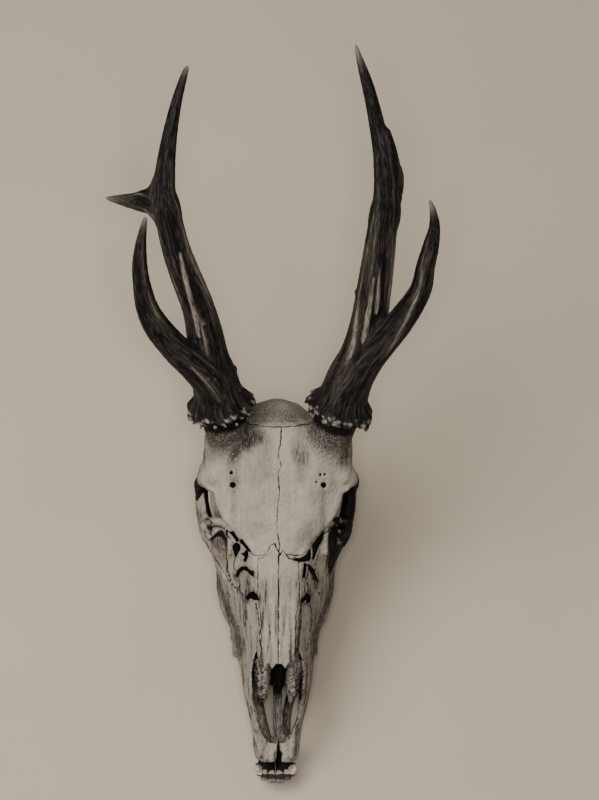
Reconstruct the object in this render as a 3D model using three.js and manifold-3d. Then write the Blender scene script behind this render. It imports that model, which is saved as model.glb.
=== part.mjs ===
// Roe deer skull of an old six-point buck, with the lower jaw in place and both antlers.
// The bones are laid out in the face frame: x to the right, v up the face from the nose to
// the antlers, w out of the face. v = 0 and w = 0 are where the nasal bones meet the
// frontals. The whole is then tipped nose down until it rests on the lower jaw.

import * as THREE from 'three';
import { mergeVertices } from 'three/addons/utils/BufferGeometryUtils.js';
import Module from 'manifold-3d';

// ---------------------------------------------------------------- driving dimensions (mm)

const GAP = 0.3; // open seam between neighbouring bones
const REST_TILT = 24.6; // nasal line against the table, degrees
const PALATE_TILT = 15; // tooth rows against the nasal line, degrees
const PREMAXILLA_TIP = [-114.6, -27]; // v, w of the front end of the skull
const UPPER_ROW = [58, 116]; // cheek teeth, distance behind the front end
const CROWN = 5; // height of a worn upper crown
const LOWER_CROWN = 4.5;
const ORBIT = { at: [41, 24.4, -14], radii: [23, 14.2, 17] };
const PEDICLE_RADIUS = 12;
const BURR = { radius: 19.2, thick: 13, drop: 2, lobe: 0.9, lobes: 9 };
const BEAM_SIDES = 10;
const BEAM_RINGS = 14;
const TINE_SIDES = 7;
const BODY_SIDES = 14;
const BROW_SIDES = 10;
const CROWN_SIDES = 6;
const JAW_SIDES = 8;

const BONE = 0xcfcabb;
const TOOTH_BONE = 0xc4bca6;
const HORN = 0x3a3029;
const FAR = 200;

const wasm = await Module();
wasm.setup();
const { Manifold, Mesh } = wasm;

// ---------------------------------------------------------------------- general helpers

const radians = THREE.MathUtils.degToRad;

// v and w of a point s behind the front end and h above the line of the tooth sockets.
function palate( s, h ) {

	const c = Math.cos( radians( PALATE_TILT ) );
	const n = Math.sin( radians( PALATE_TILT ) );
	return [ PREMAXILLA_TIP[ 0 ] + s * c + h * n, PREMAXILLA_TIP[ 1 ] - s * n + h * c ];

}

// Smooth curve through rows [t, value, value, ...] that never overshoots a row.
function track( rows ) {

	const count = rows.length;
	const width = rows[ 0 ].length - 1;
	const slopes = rows.map( () => new Array( width ).fill( 0 ) );

	for ( let k = 0; k < width; k ++ ) {

		const rise = ( i ) => ( rows[ i + 1 ][ k + 1 ] - rows[ i ][ k + 1 ] ) / ( rows[ i + 1 ][ 0 ] - rows[ i ][ 0 ] );

		for ( let i = 0; i < count; i ++ ) {

			if ( i === 0 ) slopes[ i ][ k ] = rise( 0 );
			else if ( i === count - 1 ) slopes[ i ][ k ] = rise( count - 2 );
			else if ( rise( i - 1 ) * rise( i ) > 0 ) {

				slopes[ i ][ k ] = 2 * rise( i - 1 ) * rise( i ) / ( rise( i - 1 ) + rise( i ) );

			}

		}

	}

	return ( t ) => {

		let i = 0;
		while ( i < count - 2 && t > rows[ i + 1 ][ 0 ] ) i ++;
		const span = rows[ i + 1 ][ 0 ] - rows[ i ][ 0 ];
		const u = THREE.MathUtils.clamp( ( t - rows[ i ][ 0 ] ) / span, 0, 1 );
		const a = ( 1 + 2 * u ) * ( 1 - u ) ** 2;
		const b = u * ( 1 - u ) ** 2;
		const c = u * u * ( 3 - 2 * u );
		const d = u * u * ( u - 1 );
		return slopes[ i ].map( ( slope, k ) => a * rows[ i ][ k + 1 ] + b * span * slope
			+ c * rows[ i + 1 ][ k + 1 ] + d * span * slopes[ i + 1 ][ k ] );

	};

}

function solid( geometry ) {

	const bare = new THREE.BufferGeometry().copy( geometry );
	bare.deleteAttribute( 'normal' );
	bare.deleteAttribute( 'uv' );
	const merged = mergeVertices( bare, 1e-4 );
	const vertices = new Float32Array( merged.attributes.position.array );
	const triangles = new Uint32Array( merged.index.array );
	let volume = 0;
	const a = new THREE.Vector3();
	const b = new THREE.Vector3();
	const c = new THREE.Vector3();

	for ( let i = 0; i < triangles.length; i += 3 ) {

		a.fromArray( vertices, 3 * triangles[ i ] );
		b.fromArray( vertices, 3 * triangles[ i + 1 ] );
		c.fromArray( vertices, 3 * triangles[ i + 2 ] );
		volume += a.dot( b.cross( c ) );

	}

	if ( volume < 0 ) {

		for ( let i = 0; i < triangles.length; i += 3 ) {

			[ triangles[ i + 1 ], triangles[ i + 2 ] ] = [ triangles[ i + 2 ], triangles[ i + 1 ] ];

		}

	}

	return new Manifold( new Mesh( { numProp: 3, vertProperties: vertices, triVerts: triangles } ) );

}

function join( ...parts ) {

	return parts.reduce( ( whole, part ) => whole.add( part ) );

}

function geometryOf( body ) {

	const mesh = body.getMesh();
	const geometry = new THREE.BufferGeometry();
	geometry.setAttribute( 'position', new THREE.BufferAttribute( new Float32Array( mesh.vertProperties ), 3 ) );
	geometry.setIndex( new THREE.BufferAttribute( new Uint32Array( mesh.triVerts ), 1 ) );
	return geometry;

}

// Skin over rings of points with equal counts, closed by a fan at each end.
function loft( sections ) {

	const count = sections[ 0 ].length;
	const middles = [ sections[ 0 ], sections[ sections.length - 1 ] ].map( ( ring ) => {

		return ring.reduce( ( sum, p ) => sum.add( p ), new THREE.Vector3() ).divideScalar( count );

	} );
	const points = sections.flat().concat( middles );
	const indices = [];

	for ( let j = 0; j < count; j ++ ) {

		const k = ( j + 1 ) % count;

		for ( let i = 0; i < sections.length - 1; i ++ ) {

			const [ a, b, c, d ] = [ i * count + j, i * count + k, ( i + 1 ) * count + j, ( i + 1 ) * count + k ];
			indices.push( a, b, d, a, d, c );

		}

		const end = ( sections.length - 1 ) * count;
		indices.push( sections.length * count, k, j, sections.length * count + 1, end + j, end + k );

	}

	const geometry = new THREE.BufferGeometry().setFromPoints( points );
	geometry.setIndex( indices );
	return solid( geometry );

}

function box( x0, x1, v0, v1, w0, w1 ) {

	const geometry = new THREE.BoxGeometry( x1 - x0, v1 - v0, w1 - w0 );
	geometry.translate( ( x0 + x1 ) / 2, ( v0 + v1 ) / 2, ( w0 + w1 ) / 2 );
	return solid( geometry );

}

function ellipsoid( at, radii, across, along ) {

	const geometry = new THREE.SphereGeometry( 1, across, along );
	geometry.scale( ...radii );
	geometry.translate( ...at );
	return solid( geometry );

}

// Prism on an outline of [x, v] points, grown sideways by a margin, from w0 to w1.
function prism( outline, w0, w1, margin = 0 ) {

	const points = outline.map( ( p ) => new THREE.Vector2( ...p ) );
	if ( THREE.ShapeUtils.isClockWise( points ) ) points.reverse();
	const count = points.length;
	const grown = points.map( ( p, i ) => {

		const before = p.clone().sub( points[ ( i + count - 1 ) % count ] ).normalize();
		const after = points[ ( i + 1 ) % count ].clone().sub( p ).normalize();
		const out = new THREE.Vector2( before.y + after.y, - before.x - after.x );
		const reach = margin / Math.max( 0.35, ( 1 + before.dot( after ) ) );
		return p.clone().addScaledVector( out, reach );

	} );
	const geometry = new THREE.ExtrudeGeometry( new THREE.Shape( grown ),
		{ depth: w1 - w0 + 2 * margin, bevelEnabled: false } );
	geometry.translate( 0, 0, w0 - margin );
	return solid( geometry );

}

// Prism on a side outline of [v, w] points, from x0 to x1.
function sidePrism( outline, x0, x1, margin = 0 ) {

	const turned = prism( outline, x0, x1, margin );
	return turned.transform( [ 0, 1, 0, 0, 0, 0, 1, 0, 1, 0, 0, 0, 0, 0, 0, 1 ] );

}

function mirrored( body ) {

	return body.transform( [ - 1, 0, 0, 0, 0, 1, 0, 0, 0, 0, 1, 0, 0, 0, 0, 1 ] );

}

// Two pieces of a body on either side of a cutter's skin, with the seam left open.
function part( body, cutter ) {

	return [ body.intersect( cutter( 0 ) ), body.subtract( cutter( GAP ) ) ];

}

// ------------------------------------------------------------------ round limbs (tubes)

// Limb along stations [x, v, w, radius]; flat squashes it, flute( angle, t ) grooves it.
function limb( stations, sides, rings, { flat = 1, grow = 0, flute = () => 0, plane = null } = {} ) {

	const path = new THREE.CatmullRomCurve3( stations.map( ( s ) => new THREE.Vector3( s[ 0 ], s[ 1 ], s[ 2 ] ) ) );
	const last = stations.length - 1;
	const radius = track( stations.map( ( s, i ) => [ i / last, s[ 3 ] ] ) );
	const sections = [];
	const side = new THREE.Vector3( 1, 0, 0 );

	for ( let i = 0; i <= rings; i ++ ) {

		const t = i / rings;
		const centre = path.getPoint( t );
		const along = path.getTangent( t );
		if ( plane && i === 0 ) along.copy( plane );
		side.addScaledVector( along, - side.dot( along ) ).normalize();
		const up = new THREE.Vector3().crossVectors( along, side );
		const ring = [];

		for ( let j = 0; j < sides; j ++ ) {

			const angle = j / sides * Math.PI * 2;
			const r = radius( t )[ 0 ] * ( 1 + flute( angle, t ) ) + grow;
			ring.push( centre.clone().addScaledVector( side, r * Math.cos( angle ) )
				.addScaledVector( up, r * flat * Math.sin( angle ) ) );

		}

		sections.push( ring );

	}

	return loft( sections );

}

// ----------------------------------------------------------------------- skull and face

// Half sections across the face. Each row: v, crown w, shoulder x w, widest x w, tooth
// socket x w, and the middle of the floor w.
const SKULL_PLAN = [
	[ - 115, - 25.5, 6, - 25.5, 8, - 27, 6, - 29, - 29.5 ],
	[ - 112.5, - 23.5, 8, - 23.5, 11.3, - 26, 8.5, - 30, - 31 ],
	[ - 107, - 21.5, 9, - 21, 12.4, - 25, 10, - 31.5, - 32 ],
	[ - 100, - 19, 9, - 18, 13.2, - 24, 11.5, - 32, - 33 ],
	[ - 91, - 13.5, 9, - 13, 14.6, - 21.5, 12.5, - 33, - 34.5 ],
	[ - 79, - 6, 9, - 7.5, 17.5, - 20, 14, - 35, - 36 ],
	[ - 69, - 1.5, 9, - 4, 19.1, - 20, 16, - 38, - 38 ],
	[ - 59, 0, 9.5, - 2.5, 20.3, - 22, 18.5, - 41.5, - 39 ],
	[ - 50, 0.4, 10, - 2.2, 21.8, - 25, 20.5, - 44.5, - 41 ],
	[ - 44, 0.5, 10.3, - 2.1, 23.9, - 28, 22.5, - 46, - 43 ],
	[ - 37.5, 0.5, 10.8, - 2, 27.6, - 32, 25, - 47.5, - 44 ],
	[ - 28.5, 0.4, 11.6, - 2, 30.4, - 35, 27.5, - 50, - 46 ],
	[ - 21, 0.1, 12.4, - 2.4, 31.8, - 36, 28.5, - 52, - 47.5 ],
	[ - 8, - 0.4, 14, - 3, 32, - 31, 28, - 55.5, - 51 ],
	[ 0, - 0.4, 16, - 3.4, 34.4, - 26, 24, - 56, - 53 ],
	[ 7, 0.2, 20, - 4.5, 35.5, - 24, 18, - 54, - 55 ],
	[ 12, 0.9, 23, - 5.5, 34, - 24, 15, - 52, - 56 ],
	[ 17, 1.4, 24, - 6.5, 25, - 21, 13, - 50, - 57 ],
	[ 27, 2.8, 25, - 8, 23.4, - 22, 12.5, - 50, - 59 ],
	[ 38, 4.5, 26, - 8, 25.6, - 28, 17, - 54, - 61 ],
	[ 50, 6.2, 26, - 6, 31, - 33, 23, - 57, - 64 ],
	[ 60, 7, 24, - 5, 30.5, - 36, 25, - 58, - 66 ],
	[ 66, 6, 18, - 3.5, 26, - 34, 20, - 57, - 65 ],
	[ 71, 2.5, 12.5, - 3, 18.5, - 26, 15, - 48, - 57 ],
	[ 76, - 4.5, 9, - 8, 14.6, - 23, 11, - 36, - 42 ],
	[ 79.5, - 10, 6, - 13, 9.8, - 21, 7, - 28, - 31 ],
	[ 81, - 16, 1.5, - 17, 3, - 20.5, 2, - 24, - 25 ],
];

function skullSection( at ) {

	return ( v ) => {

		const [ wt, xs, ws, xm, wm, xl, wl, wb ] = at( v );
		const half = [ [ 0, wt ], [ xs * 0.62, wt * 0.7 + ws * 0.3 ], [ xs, ws ],
			[ ( xs + xm ) / 2 + ( xm - xs ) * 0.12, ( ws + wm ) / 2 ], [ xm, wm ],
			[ xm * 0.35 + xl * 0.65, ( wm + wl ) / 2 ], [ xl, wl ], [ xl * 0.5, ( wl + wb ) / 2 ], [ 0, wb ] ];
		const points = half.map( ( p ) => new THREE.Vector3( p[ 0 ], v, p[ 1 ] ) );

		for ( let i = half.length - 2; i > 0; i -- ) {

			points.push( new THREE.Vector3( - half[ i ][ 0 ], v, half[ i ][ 1 ] ) );

		}

		const curve = new THREE.CatmullRomCurve3( points, true, 'centripetal' );
		const ring = [];

		for ( let j = 0; j < BODY_SIDES; j ++ ) {

			ring.push( curve.getPoint( j / BODY_SIDES ) );

		}

		return ring;

	};

}

function skullBody() {

	const section = skullSection( track( SKULL_PLAN ) );
	const sections = [];

	for ( let i = 1; i < SKULL_PLAN.length; i ++ ) {

		const from = SKULL_PLAN[ i - 1 ][ 0 ];
		const to = SKULL_PLAN[ i ][ 0 ];
		if ( i === 1 ) sections.push( section( from ) );
		if ( to - from > 9.5 ) sections.push( section( ( from + to ) / 2 ) );
		sections.push( section( to ) );

	}

	return loft( sections );

}

// Roof of the eyes. Each row: v, half width, w over the middle, w at the edge, thickness.
const BROW_PLAN = [
	[ - 1.5, 12.5, - 0.6, - 3, 4 ],
	[ 3, 17.6, - 0.4, - 4, 4 ],
	[ 8, 22.4, 0.2, - 4.6, 4 ],
	[ 13, 27, 0.8, - 4.6, 4 ],
	[ 18, 30.8, 1.5, - 4.4, 4 ],
	[ 24, 33.4, 2.4, - 4, 4 ],
	[ 30.4, 35.4, 3.3, - 4.4, 4 ],
	[ 32.6, 38.4, 3.6, - 5, 5 ],
	[ 36.5, 40.6, 4.3, - 6.5, 6 ],
	[ 39.5, 41.6, 4.8, - 6.5, 8 ],
	[ 45, 39.4, 5.6, - 5, 9 ],
	[ 52, 38.8, 6.4, - 3.5, 10 ],
	[ 60, 37, 7, - 3.5, 10 ],
	[ 66, 28, 5.5, - 4, 9 ],
	[ 69, 18, 3.5, - 4, 6 ],
];

const BROW_RISE = 0.5; // how far the roof stands proud of the body

function brow() {

	const at = track( BROW_PLAN );
	const sections = BROW_PLAN.map( ( [ v ] ) => {

		const [ half, low, rim, thick ] = at( v );
		const [ mid, edge ] = [ low + BROW_RISE, rim + BROW_RISE ];
		const rows = [ [ 0, mid ], [ 0.45 * half, mid * 0.95 + edge * 0.05 ], [ 0.8 * half, mid * 0.5 + edge * 0.5 + 0.8 ],
			[ half, edge - thick * 0.4 ], [ 0.86 * half, edge - thick ], [ 0.5 * half, edge - thick - 1 ],
			[ 0, edge - thick - 2 ] ];
		const points = rows.map( ( p ) => new THREE.Vector3( p[ 0 ], v, p[ 1 ] ) );

		for ( let i = rows.length - 2; i > 0; i -- ) {

			points.push( new THREE.Vector3( - rows[ i ][ 0 ], v, rows[ i ][ 1 ] ) );

		}

		return new THREE.CatmullRomCurve3( points, true, 'centripetal' ).getPoints( BROW_SIDES ).slice( 0, BROW_SIDES );

	} );
	return loft( sections );

}

// Cheek arch from the face under the eye to the side of the braincase: x, v, w, half height.
const ARCH_PATH = [
	[ 23, - 22, - 40, 3.4 ],
	[ 28.2, - 8, - 36.5, 4 ],
	[ 32.3, 1, - 34, 4 ],
	[ 36.9, 9, - 33, 4.1 ],
	[ 38.6, 18, - 33, 4 ],
	[ 40.1, 28, - 33, 3.6 ],
	[ 39.5, 39, - 33, 3.2 ],
	[ 35.5, 49, - 33, 3.4 ],
	[ 26, 57, - 34, 4 ],
];
const ARCH_DEPTH = 1.6; // height of the arch over its thickness
const POSTORBITAL_PATH = [
	[ 35, 41, - 7, 6 ],
	[ 39.6, 38.8, - 11, 4.2 ],
	[ 41.6, 36.6, - 18, 2.9 ],
	[ 41.6, 35, - 26, 3 ],
	[ 40.4, 34, - 33, 3 ],
];

// Rim in front of the eye and the ridge that runs down from it, right side.
const RIM_PATH = [
	[ 30, - 1, - 16, 1.8 ],
	[ 29.8, 8, - 13.6, 2.1 ],
	[ 30.6, 14, - 14, 2.2 ],
	[ 32.6, 16.6, - 17.5, 2.3 ],
	[ 35.4, 16, - 24, 2.6 ],
	[ 37.4, 14, - 30, 2.6 ],
];
const TEAR_PIT_PATH = [
	[ 34.6, 6.5, - 18, 3.6 ],
	[ 33.2, 0, - 19, 3.3 ],
	[ 31, - 6, - 21, 2.4 ],
	[ 28.8, - 12, - 24, 1.2 ],
];

function archSide() {

	return join( limb( ARCH_PATH, 6, 8, { flat: ARCH_DEPTH } ), limb( POSTORBITAL_PATH, 6, 4 ),
		limb( RIM_PATH, 6, 5 ) );

}

const CHEEK_TEETH = [ 8, 9, 9.5, 10, 10.5, 11 ]; // lengths of the six teeth, front to back

// A row of crowns between jaw heights h0 and h1; lean shifts the row behind the front end.
function toothRow( start, h0, h1, across, place ) {

	const crowns = [];
	let s = start;

	CHEEK_TEETH.forEach( ( length, i ) => {

		const mid = s + length / 2;
		const width = across * ( 0.72 + 0.07 * i );
		const ring = ( h, size ) => {

			const points = [];

			for ( let j = 0; j < CROWN_SIDES; j ++ ) {

				const angle = ( j + 0.5 ) / CROWN_SIDES * Math.PI * 2;
				const cx = Math.sign( Math.cos( angle ) ) * Math.abs( Math.cos( angle ) ) ** 0.6;
				const cs = Math.sign( Math.sin( angle ) ) * Math.abs( Math.sin( angle ) ) ** 0.6;
				const [ v, w ] = palate( mid + cs * size * length * 0.485, h );
				points.push( new THREE.Vector3( place( mid ) + cx * size * width / 2, v, w ) );

			}

			return points;

		};

		crowns.push( loft( [ ring( h0, 1 ), ring( h1, 0.9 ) ] ) );
		s += length;

	} );

	return join( ...crowns );

}

function upperRowX( s ) {

	return THREE.MathUtils.mapLinear( s, UPPER_ROW[ 0 ], UPPER_ROW[ 1 ], 18.2, 23.4 );

}

function lowerRowX( s ) {

	return THREE.MathUtils.mapLinear( s, UPPER_ROW[ 0 ], UPPER_ROW[ 1 ], 15.4, 21.2 );

}

// Opening of the nose: x half width, v, w of its floor, down the snout.
function noseOpening() {

	const rows = [ [ - 104.5, 3.2, - 29 ], [ - 99, 6.4, - 31 ], [ - 90, 8.8, - 31.5 ], [ - 78, 11.2, - 32 ],
		[ - 66, 12.6, - 33 ], [ - 56, 12.4, - 33 ], [ - 50, 8, - 28 ] ];
	const at = track( rows );
	const sections = [];

	for ( let v = - 104.5; v <= - 50; v += 54.5 / 10 ) {

		const [ half, floor ] = at( v );
		const roof = v > - 64 ? - 5 : 30;
		const ring = [ [ 0, roof ], [ half * 0.72, roof ], [ half, roof - 2 ], [ half, floor + 5 ],
			[ half * 0.75, floor ], [ 0, floor ] ];
		const full = ring.concat( ring.slice( 1, 5 ).reverse().map( ( [ x, w ] ) => [ - x, w ] ) );
		sections.push( full.map( ( [ x, w ] ) => new THREE.Vector3( x, v, w ) ) );

	}

	return loft( sections );

}

// Slits through the bony palate, either side of the midline bar: [x, v].
const PALATE_SLITS = [
	[ [ - 1.2, - 78 ], [ - 12, - 78 ], [ - 11, - 84 ], [ - 8.8, - 91 ], [ - 6.4, - 99 ], [ - 4.6, - 101.6 ],
		[ - 2.8, - 102 ], [ - 1.5, - 100 ] ],
	[ [ 3.2, - 78 ], [ 12.4, - 78 ], [ 12, - 86 ], [ 11, - 94 ], [ 9.9, - 99.5 ], [ 8.2, - 101.8 ],
		[ 6, - 102.2 ], [ 4.2, - 100 ] ],
];

const TURBINATE_PATH = [
	[ 7.6, - 81, - 24, 1.1 ],
	[ 7.8, - 76.5, - 20.5, 2.2 ],
	[ 8.1, - 70, - 17, 3.2 ],
	[ 8, - 63, - 16, 3.8 ],
	[ 7.6, - 56, - 16, 4.2 ],
	[ 7, - 46, - 16, 5 ],
];

function occiput() {

	const condyle = ( side ) => ellipsoid( [ side * 10.6, 63, - 61 ], [ 7.4, 8.4, 8 ], 8, 6 );
	const process = ( side ) => limb( [ [ side * 22, 57, - 50, 6 ], [ side * 21, 54, - 60, 5 ],
		[ side * 19.5, 50, - 71, 3 ], [ side * 18.4, 46.5, - 78, 1.3 ] ], 6, 4, { flat: 1.3 } );
	const bulla = ( side ) => ellipsoid( [ side * 15, 40, - 58 ], [ 6.5, 9, 7 ], 7, 5 );
	const ear = ( side ) => limb( [ [ side * 20, 46, - 52, 4 ], [ side * 27, 47, - 50, 3.6 ],
		[ side * 31.5, 48, - 49, 3 ] ], 6, 2 );
	const crest = limb( [ [ - 25, 62, - 36, 3 ], [ - 16, 71.5, - 27, 3 ], [ - 7, 77, - 22, 3 ], [ 0, 78, - 21, 3.2 ],
		[ 7, 77, - 22, 3 ], [ 16, 71.5, - 27, 3 ], [ 25, 62, - 36, 3 ] ], 6, 8 );
	return join( condyle( 1 ), condyle( - 1 ), process( 1 ), process( - 1 ), bulla( 1 ), bulla( - 1 ),
		ear( 1 ), ear( - 1 ), crest );

}

function pterygoids() {

	const wing = ( side ) => limb( [ [ side * 10.5, - 3, - 52, 2.6 ], [ side * 9.5, 10, - 57, 2.4 ],
		[ side * 8.6, 20, - 62, 2.2 ], [ side * 8, 27, - 62, 1.4 ] ], 6, 4, { flat: 2.4 } );
	return join( wing( 1 ), wing( - 1 ) );

}

// ------------------------------------------------------------------------------ antlers

const LEFT = {
	beam: [ [ - 31.6, 78.4, 14, 13.3 ], [ - 35.3, 92.9, 21.5, 12.3 ], [ - 38.8, 103.7, 28, 10.9 ],
		[ - 41.3, 118.5, 35.5, 9.4 ], [ - 45.2, 132.2, 42, 8.4 ], [ - 51.7, 147.8, 49, 8 ],
		[ - 57.4, 163.3, 56, 7.4 ], [ - 62.2, 183.6, 64, 6.8 ], [ - 63.2, 194.2, 67.5, 5.8 ],
		[ - 61.4, 214.5, 73.5, 4.3 ], [ - 57.8, 234.4, 78, 3 ], [ - 53.2, 251.1, 81, 1.8 ],
		[ - 51.5, 255.1, 81.6, 0.6 ] ],
	fork: 6.9,
	front: [ [ - 34.6, 85, 23, 9 ], [ - 38.9, 92, 29, 9 ], [ - 47, 100.5, 36, 8.6 ], [ - 56.1, 108, 42, 7.8 ],
		[ - 66, 119.1, 50, 7.1 ], [ - 71.9, 129.9, 57, 5.9 ], [ - 75.1, 142.5, 64, 4.7 ],
		[ - 76.2, 152.8, 69, 4 ], [ - 75.6, 164, 73.5, 2.8 ], [ - 73.9, 174.3, 77, 1.4 ],
		[ - 73.6, 176.2, 77.6, 0.6 ] ],
	rear: [ [ - 62.9, 181.7, 62, 5.5 ], [ - 70.8, 184.8, 58, 5.9 ], [ - 78.5, 185.8, 54.5, 4.4 ],
		[ - 87.6, 186.8, 50, 2.4 ], [ - 92.5, 187.6, 47, 1.2 ], [ - 93.5, 187.8, 46.4, 0.6 ] ],
};
const RIGHT = {
	beam: [ [ 32.2, 77, 13, 13.3 ], [ 36.8, 92.3, 21, 12.5 ], [ 40.9, 101.7, 27, 11.5 ],
		[ 44.4, 113.6, 33, 10.5 ], [ 46.8, 127.3, 39.5, 9.6 ], [ 49.7, 151.2, 51, 8.8 ],
		[ 51.7, 171.4, 60, 7.8 ], [ 53.3, 188.4, 66.5, 6.7 ], [ 51.4, 206.7, 73, 5.2 ],
		[ 49.3, 218.2, 76, 4.5 ], [ 45.6, 234.3, 80, 3.7 ], [ 42.7, 245.2, 82, 3.2 ],
		[ 38.9, 257.2, 84, 2.1 ], [ 36.1, 266.4, 85.4, 0.7 ] ],
	fork: 7,
	front: [ [ 36, 86, 23, 8.6 ], [ 40.8, 94, 29.5, 8.4 ], [ 49.1, 106.4, 38.5, 8 ], [ 61.5, 121.8, 51, 7.3 ],
		[ 71.4, 137.9, 60.5, 5.8 ], [ 74, 151.2, 67.5, 5 ], [ 76.4, 161.8, 72, 4.3 ],
		[ 78.2, 171.5, 75.5, 3 ], [ 77.2, 179.7, 78.5, 1.9 ], [ 75.3, 185.6, 80, 0.6 ] ],
	rear: [ [ 53.8, 178.9, 60, 5.9 ], [ 56.2, 185.9, 54, 5.9 ], [ 58.7, 193.6, 46.5, 4.7 ],
		[ 60.7, 199.8, 40, 3.2 ], [ 62.3, 205, 34.5, 0.8 ] ],
};

function antlerAxis( antler ) {

	const [ a, b ] = [ antler.beam[ 0 ], antler.beam[ 1 ] ].map( ( s ) => new THREE.Vector3( s[ 0 ], s[ 1 ], s[ 2 ] ) );
	return b.sub( a ).normalize();

}

const flutes = ( deep ) => ( angle, t ) => deep * Math.sin( 5 * angle + 2.5 * t ) * ( 1 - t * 0.6 );

function burr( antler ) {

	const axis = antlerAxis( antler );
	const centre = new THREE.Vector3( ...antler.beam[ 0 ].slice( 0, 3 ) );
	const side = new THREE.Vector3( 1, 0, 0 );
	side.addScaledVector( axis, - side.dot( axis ) ).normalize();
	const up = new THREE.Vector3().crossVectors( axis, side );
	const profile = [ [ - 0.5, 0.8 ], [ - 0.34, 0.97 ], [ - 0.05, 1 ], [ 0.25, 0.92 ], [ 0.5, 0.7 ] ];
	return loft( profile.map( ( [ rise, spread ] ) => {

		const ring = [];

		for ( let j = 0; j < 2 * BURR.lobes; j ++ ) {

			const angle = j / BURR.lobes * Math.PI;
			const r = spread * BURR.radius + BURR.lobe * Math.cos( BURR.lobes * angle ) * spread;
			ring.push( centre.clone().addScaledVector( axis, rise * BURR.thick - BURR.drop )
				.addScaledVector( side, r * Math.cos( angle ) ).addScaledVector( up, r * Math.sin( angle ) ) );

		}

		return ring;

	} ) );

}

// Everything on the skull's side of the seat of an antler, or beyond it.
function seatBlock( antler, offset ) {

	const axis = antlerAxis( antler );
	const centre = new THREE.Vector3( ...antler.beam[ 0 ].slice( 0, 3 ) );
	const geometry = new THREE.BoxGeometry( 240, 240, 300 );
	geometry.translate( 0, 0, 150 );
	const turn = new THREE.Quaternion().setFromUnitVectors( new THREE.Vector3( 0, 0, 1 ), axis );
	geometry.applyQuaternion( turn );
	const foot = centre.addScaledVector( axis, offset - BURR.drop - BURR.thick / 2 );
	geometry.translate( foot.x, foot.y, foot.z );
	return solid( geometry );

}

function forkBlock( antler, offset ) {

	const at = antler.beam[ Math.floor( antler.fork ) ];
	const to = antler.beam[ Math.floor( antler.fork ) + 1 ];
	const share = antler.fork % 1;
	const foot = new THREE.Vector3( ...[ 0, 1, 2 ].map( ( i ) => at[ i ] + share * ( to[ i ] - at[ i ] ) ) );
	const axis = new THREE.Vector3( ...[ 0, 1, 2 ].map( ( i ) => to[ i ] - at[ i ] ) ).normalize();
	const geometry = new THREE.BoxGeometry( 100, 100, 160 );
	geometry.translate( 0, 0, 80 + offset );
	geometry.applyQuaternion( new THREE.Quaternion().setFromUnitVectors( new THREE.Vector3( 0, 0, 1 ), axis ) );
	geometry.translate( foot.x, foot.y, foot.z );
	return solid( geometry );

}

function antlerPieces( antler, name ) {

	const whole = limb( antler.beam, BEAM_SIDES, BEAM_RINGS, { flute: flutes( 0.045 ) } );
	const grown = limb( antler.beam, BEAM_SIDES, BEAM_RINGS, { flute: flutes( 0.045 ), grow: GAP } );
	const lower = join( whole.subtract( forkBlock( antler, 0 ) ), burr( antler ) )
		.intersect( seatBlock( antler, 0 ) );
	const top = whole.intersect( forkBlock( antler, GAP ) );
	const front = limb( antler.front, TINE_SIDES, 12, { flute: flutes( 0.04 ) } ).subtract( grown );
	const rear = limb( antler.rear, TINE_SIDES, 8, { flute: flutes( 0.03 ) } ).subtract( grown );
	return [ [ `antler_${name}_beam`, lower ], [ `antler_${name}_top_tine`, top ],
		[ `antler_${name}_front_tine`, front ], [ `antler_${name}_rear_tine`, rear ] ];

}

function pedicle( antler ) {

	const side = Math.sign( antler.beam[ 0 ][ 0 ] );
	const [ x, v, w ] = antler.beam[ 0 ];
	const axis = antlerAxis( antler );
	return limb( [ [ side * 23, 48, - 12, PEDICLE_RADIUS + 3 ], [ side * 26, 60, - 2, PEDICLE_RADIUS + 1.5 ],
		[ x - axis.x * 9, v - axis.y * 9, w - axis.z * 9, PEDICLE_RADIUS ],
		[ x, v, w, PEDICLE_RADIUS ] ], BEAM_SIDES, 4 ).subtract( seatBlock( antler, - GAP ) );

}

// ------------------------------------------------------------------------------- skull

const NASAL = [ [ - 1, - 1.6 ], [ 0, - 0.6 ], [ 1.5, 2.2 ], [ 3.4, 3.8 ], [ 5.4, 1 ], [ 8.4, - 3.4 ], [ 10.8, - 4 ], [ 11.4, - 24 ],
	[ 9.4, - 35 ], [ 9.2, - 58 ], [ 7.6, - 63.6 ], [ 5.8, - 60.6 ], [ 3.4, - 63.2 ], [ 1.6, - 60.4 ], [ 0, - 61.5 ], [ - 1, - 62 ] ];
const FRONTAL = [ [ - 1, - 1.2 ], [ 12.6, - 2.6 ], [ 20, 4 ], [ 28, 12 ], [ 36, 20 ], [ 50, 26 ], [ 50, 71 ],
	[ 34, 71 ], [ 20, 67.5 ], [ - 1, 68.2 ] ];
const PREMAXILLA_SIDE = [ [ - 130, 20 ], [ - 57, 20 ], [ - 58, - 6 ], [ - 61, - 14 ], [ - 66, - 22 ], [ - 74, - 34 ],
	[ - 76, - 60 ], [ - 130, - 60 ] ];
const MAXILLA_SIDE = [ [ - 130, 30 ], [ 19, 30 ], [ 18, - 12 ], [ 14, - 34 ], [ 4, - 46 ], [ - 2, - 56 ], [ 0, - 90 ],
	[ - 130, - 90 ] ];
const JUGAL_FACE = [ [ 25, - 18 ], [ 28.1, - 12.5 ], [ 30.9, - 8 ], [ 33.4, - 4 ], [ 38, 3.8 ], [ 60, 6 ], [ 60, 21 ],
	[ 27.4, 21 ], [ 27.5, 0 ], [ 26.4, - 10 ] ];
const JUGAL_ARCH = [ [ 33, 13 ], [ 60, 13 ], [ 60, 47 ], [ 33, 47 ] ];
const JUGAL_FLOOR = - 44; // w
const JUGAL_TOPS = [ - 8, - 15.8 ]; // w of the face part and of the arch
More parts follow.
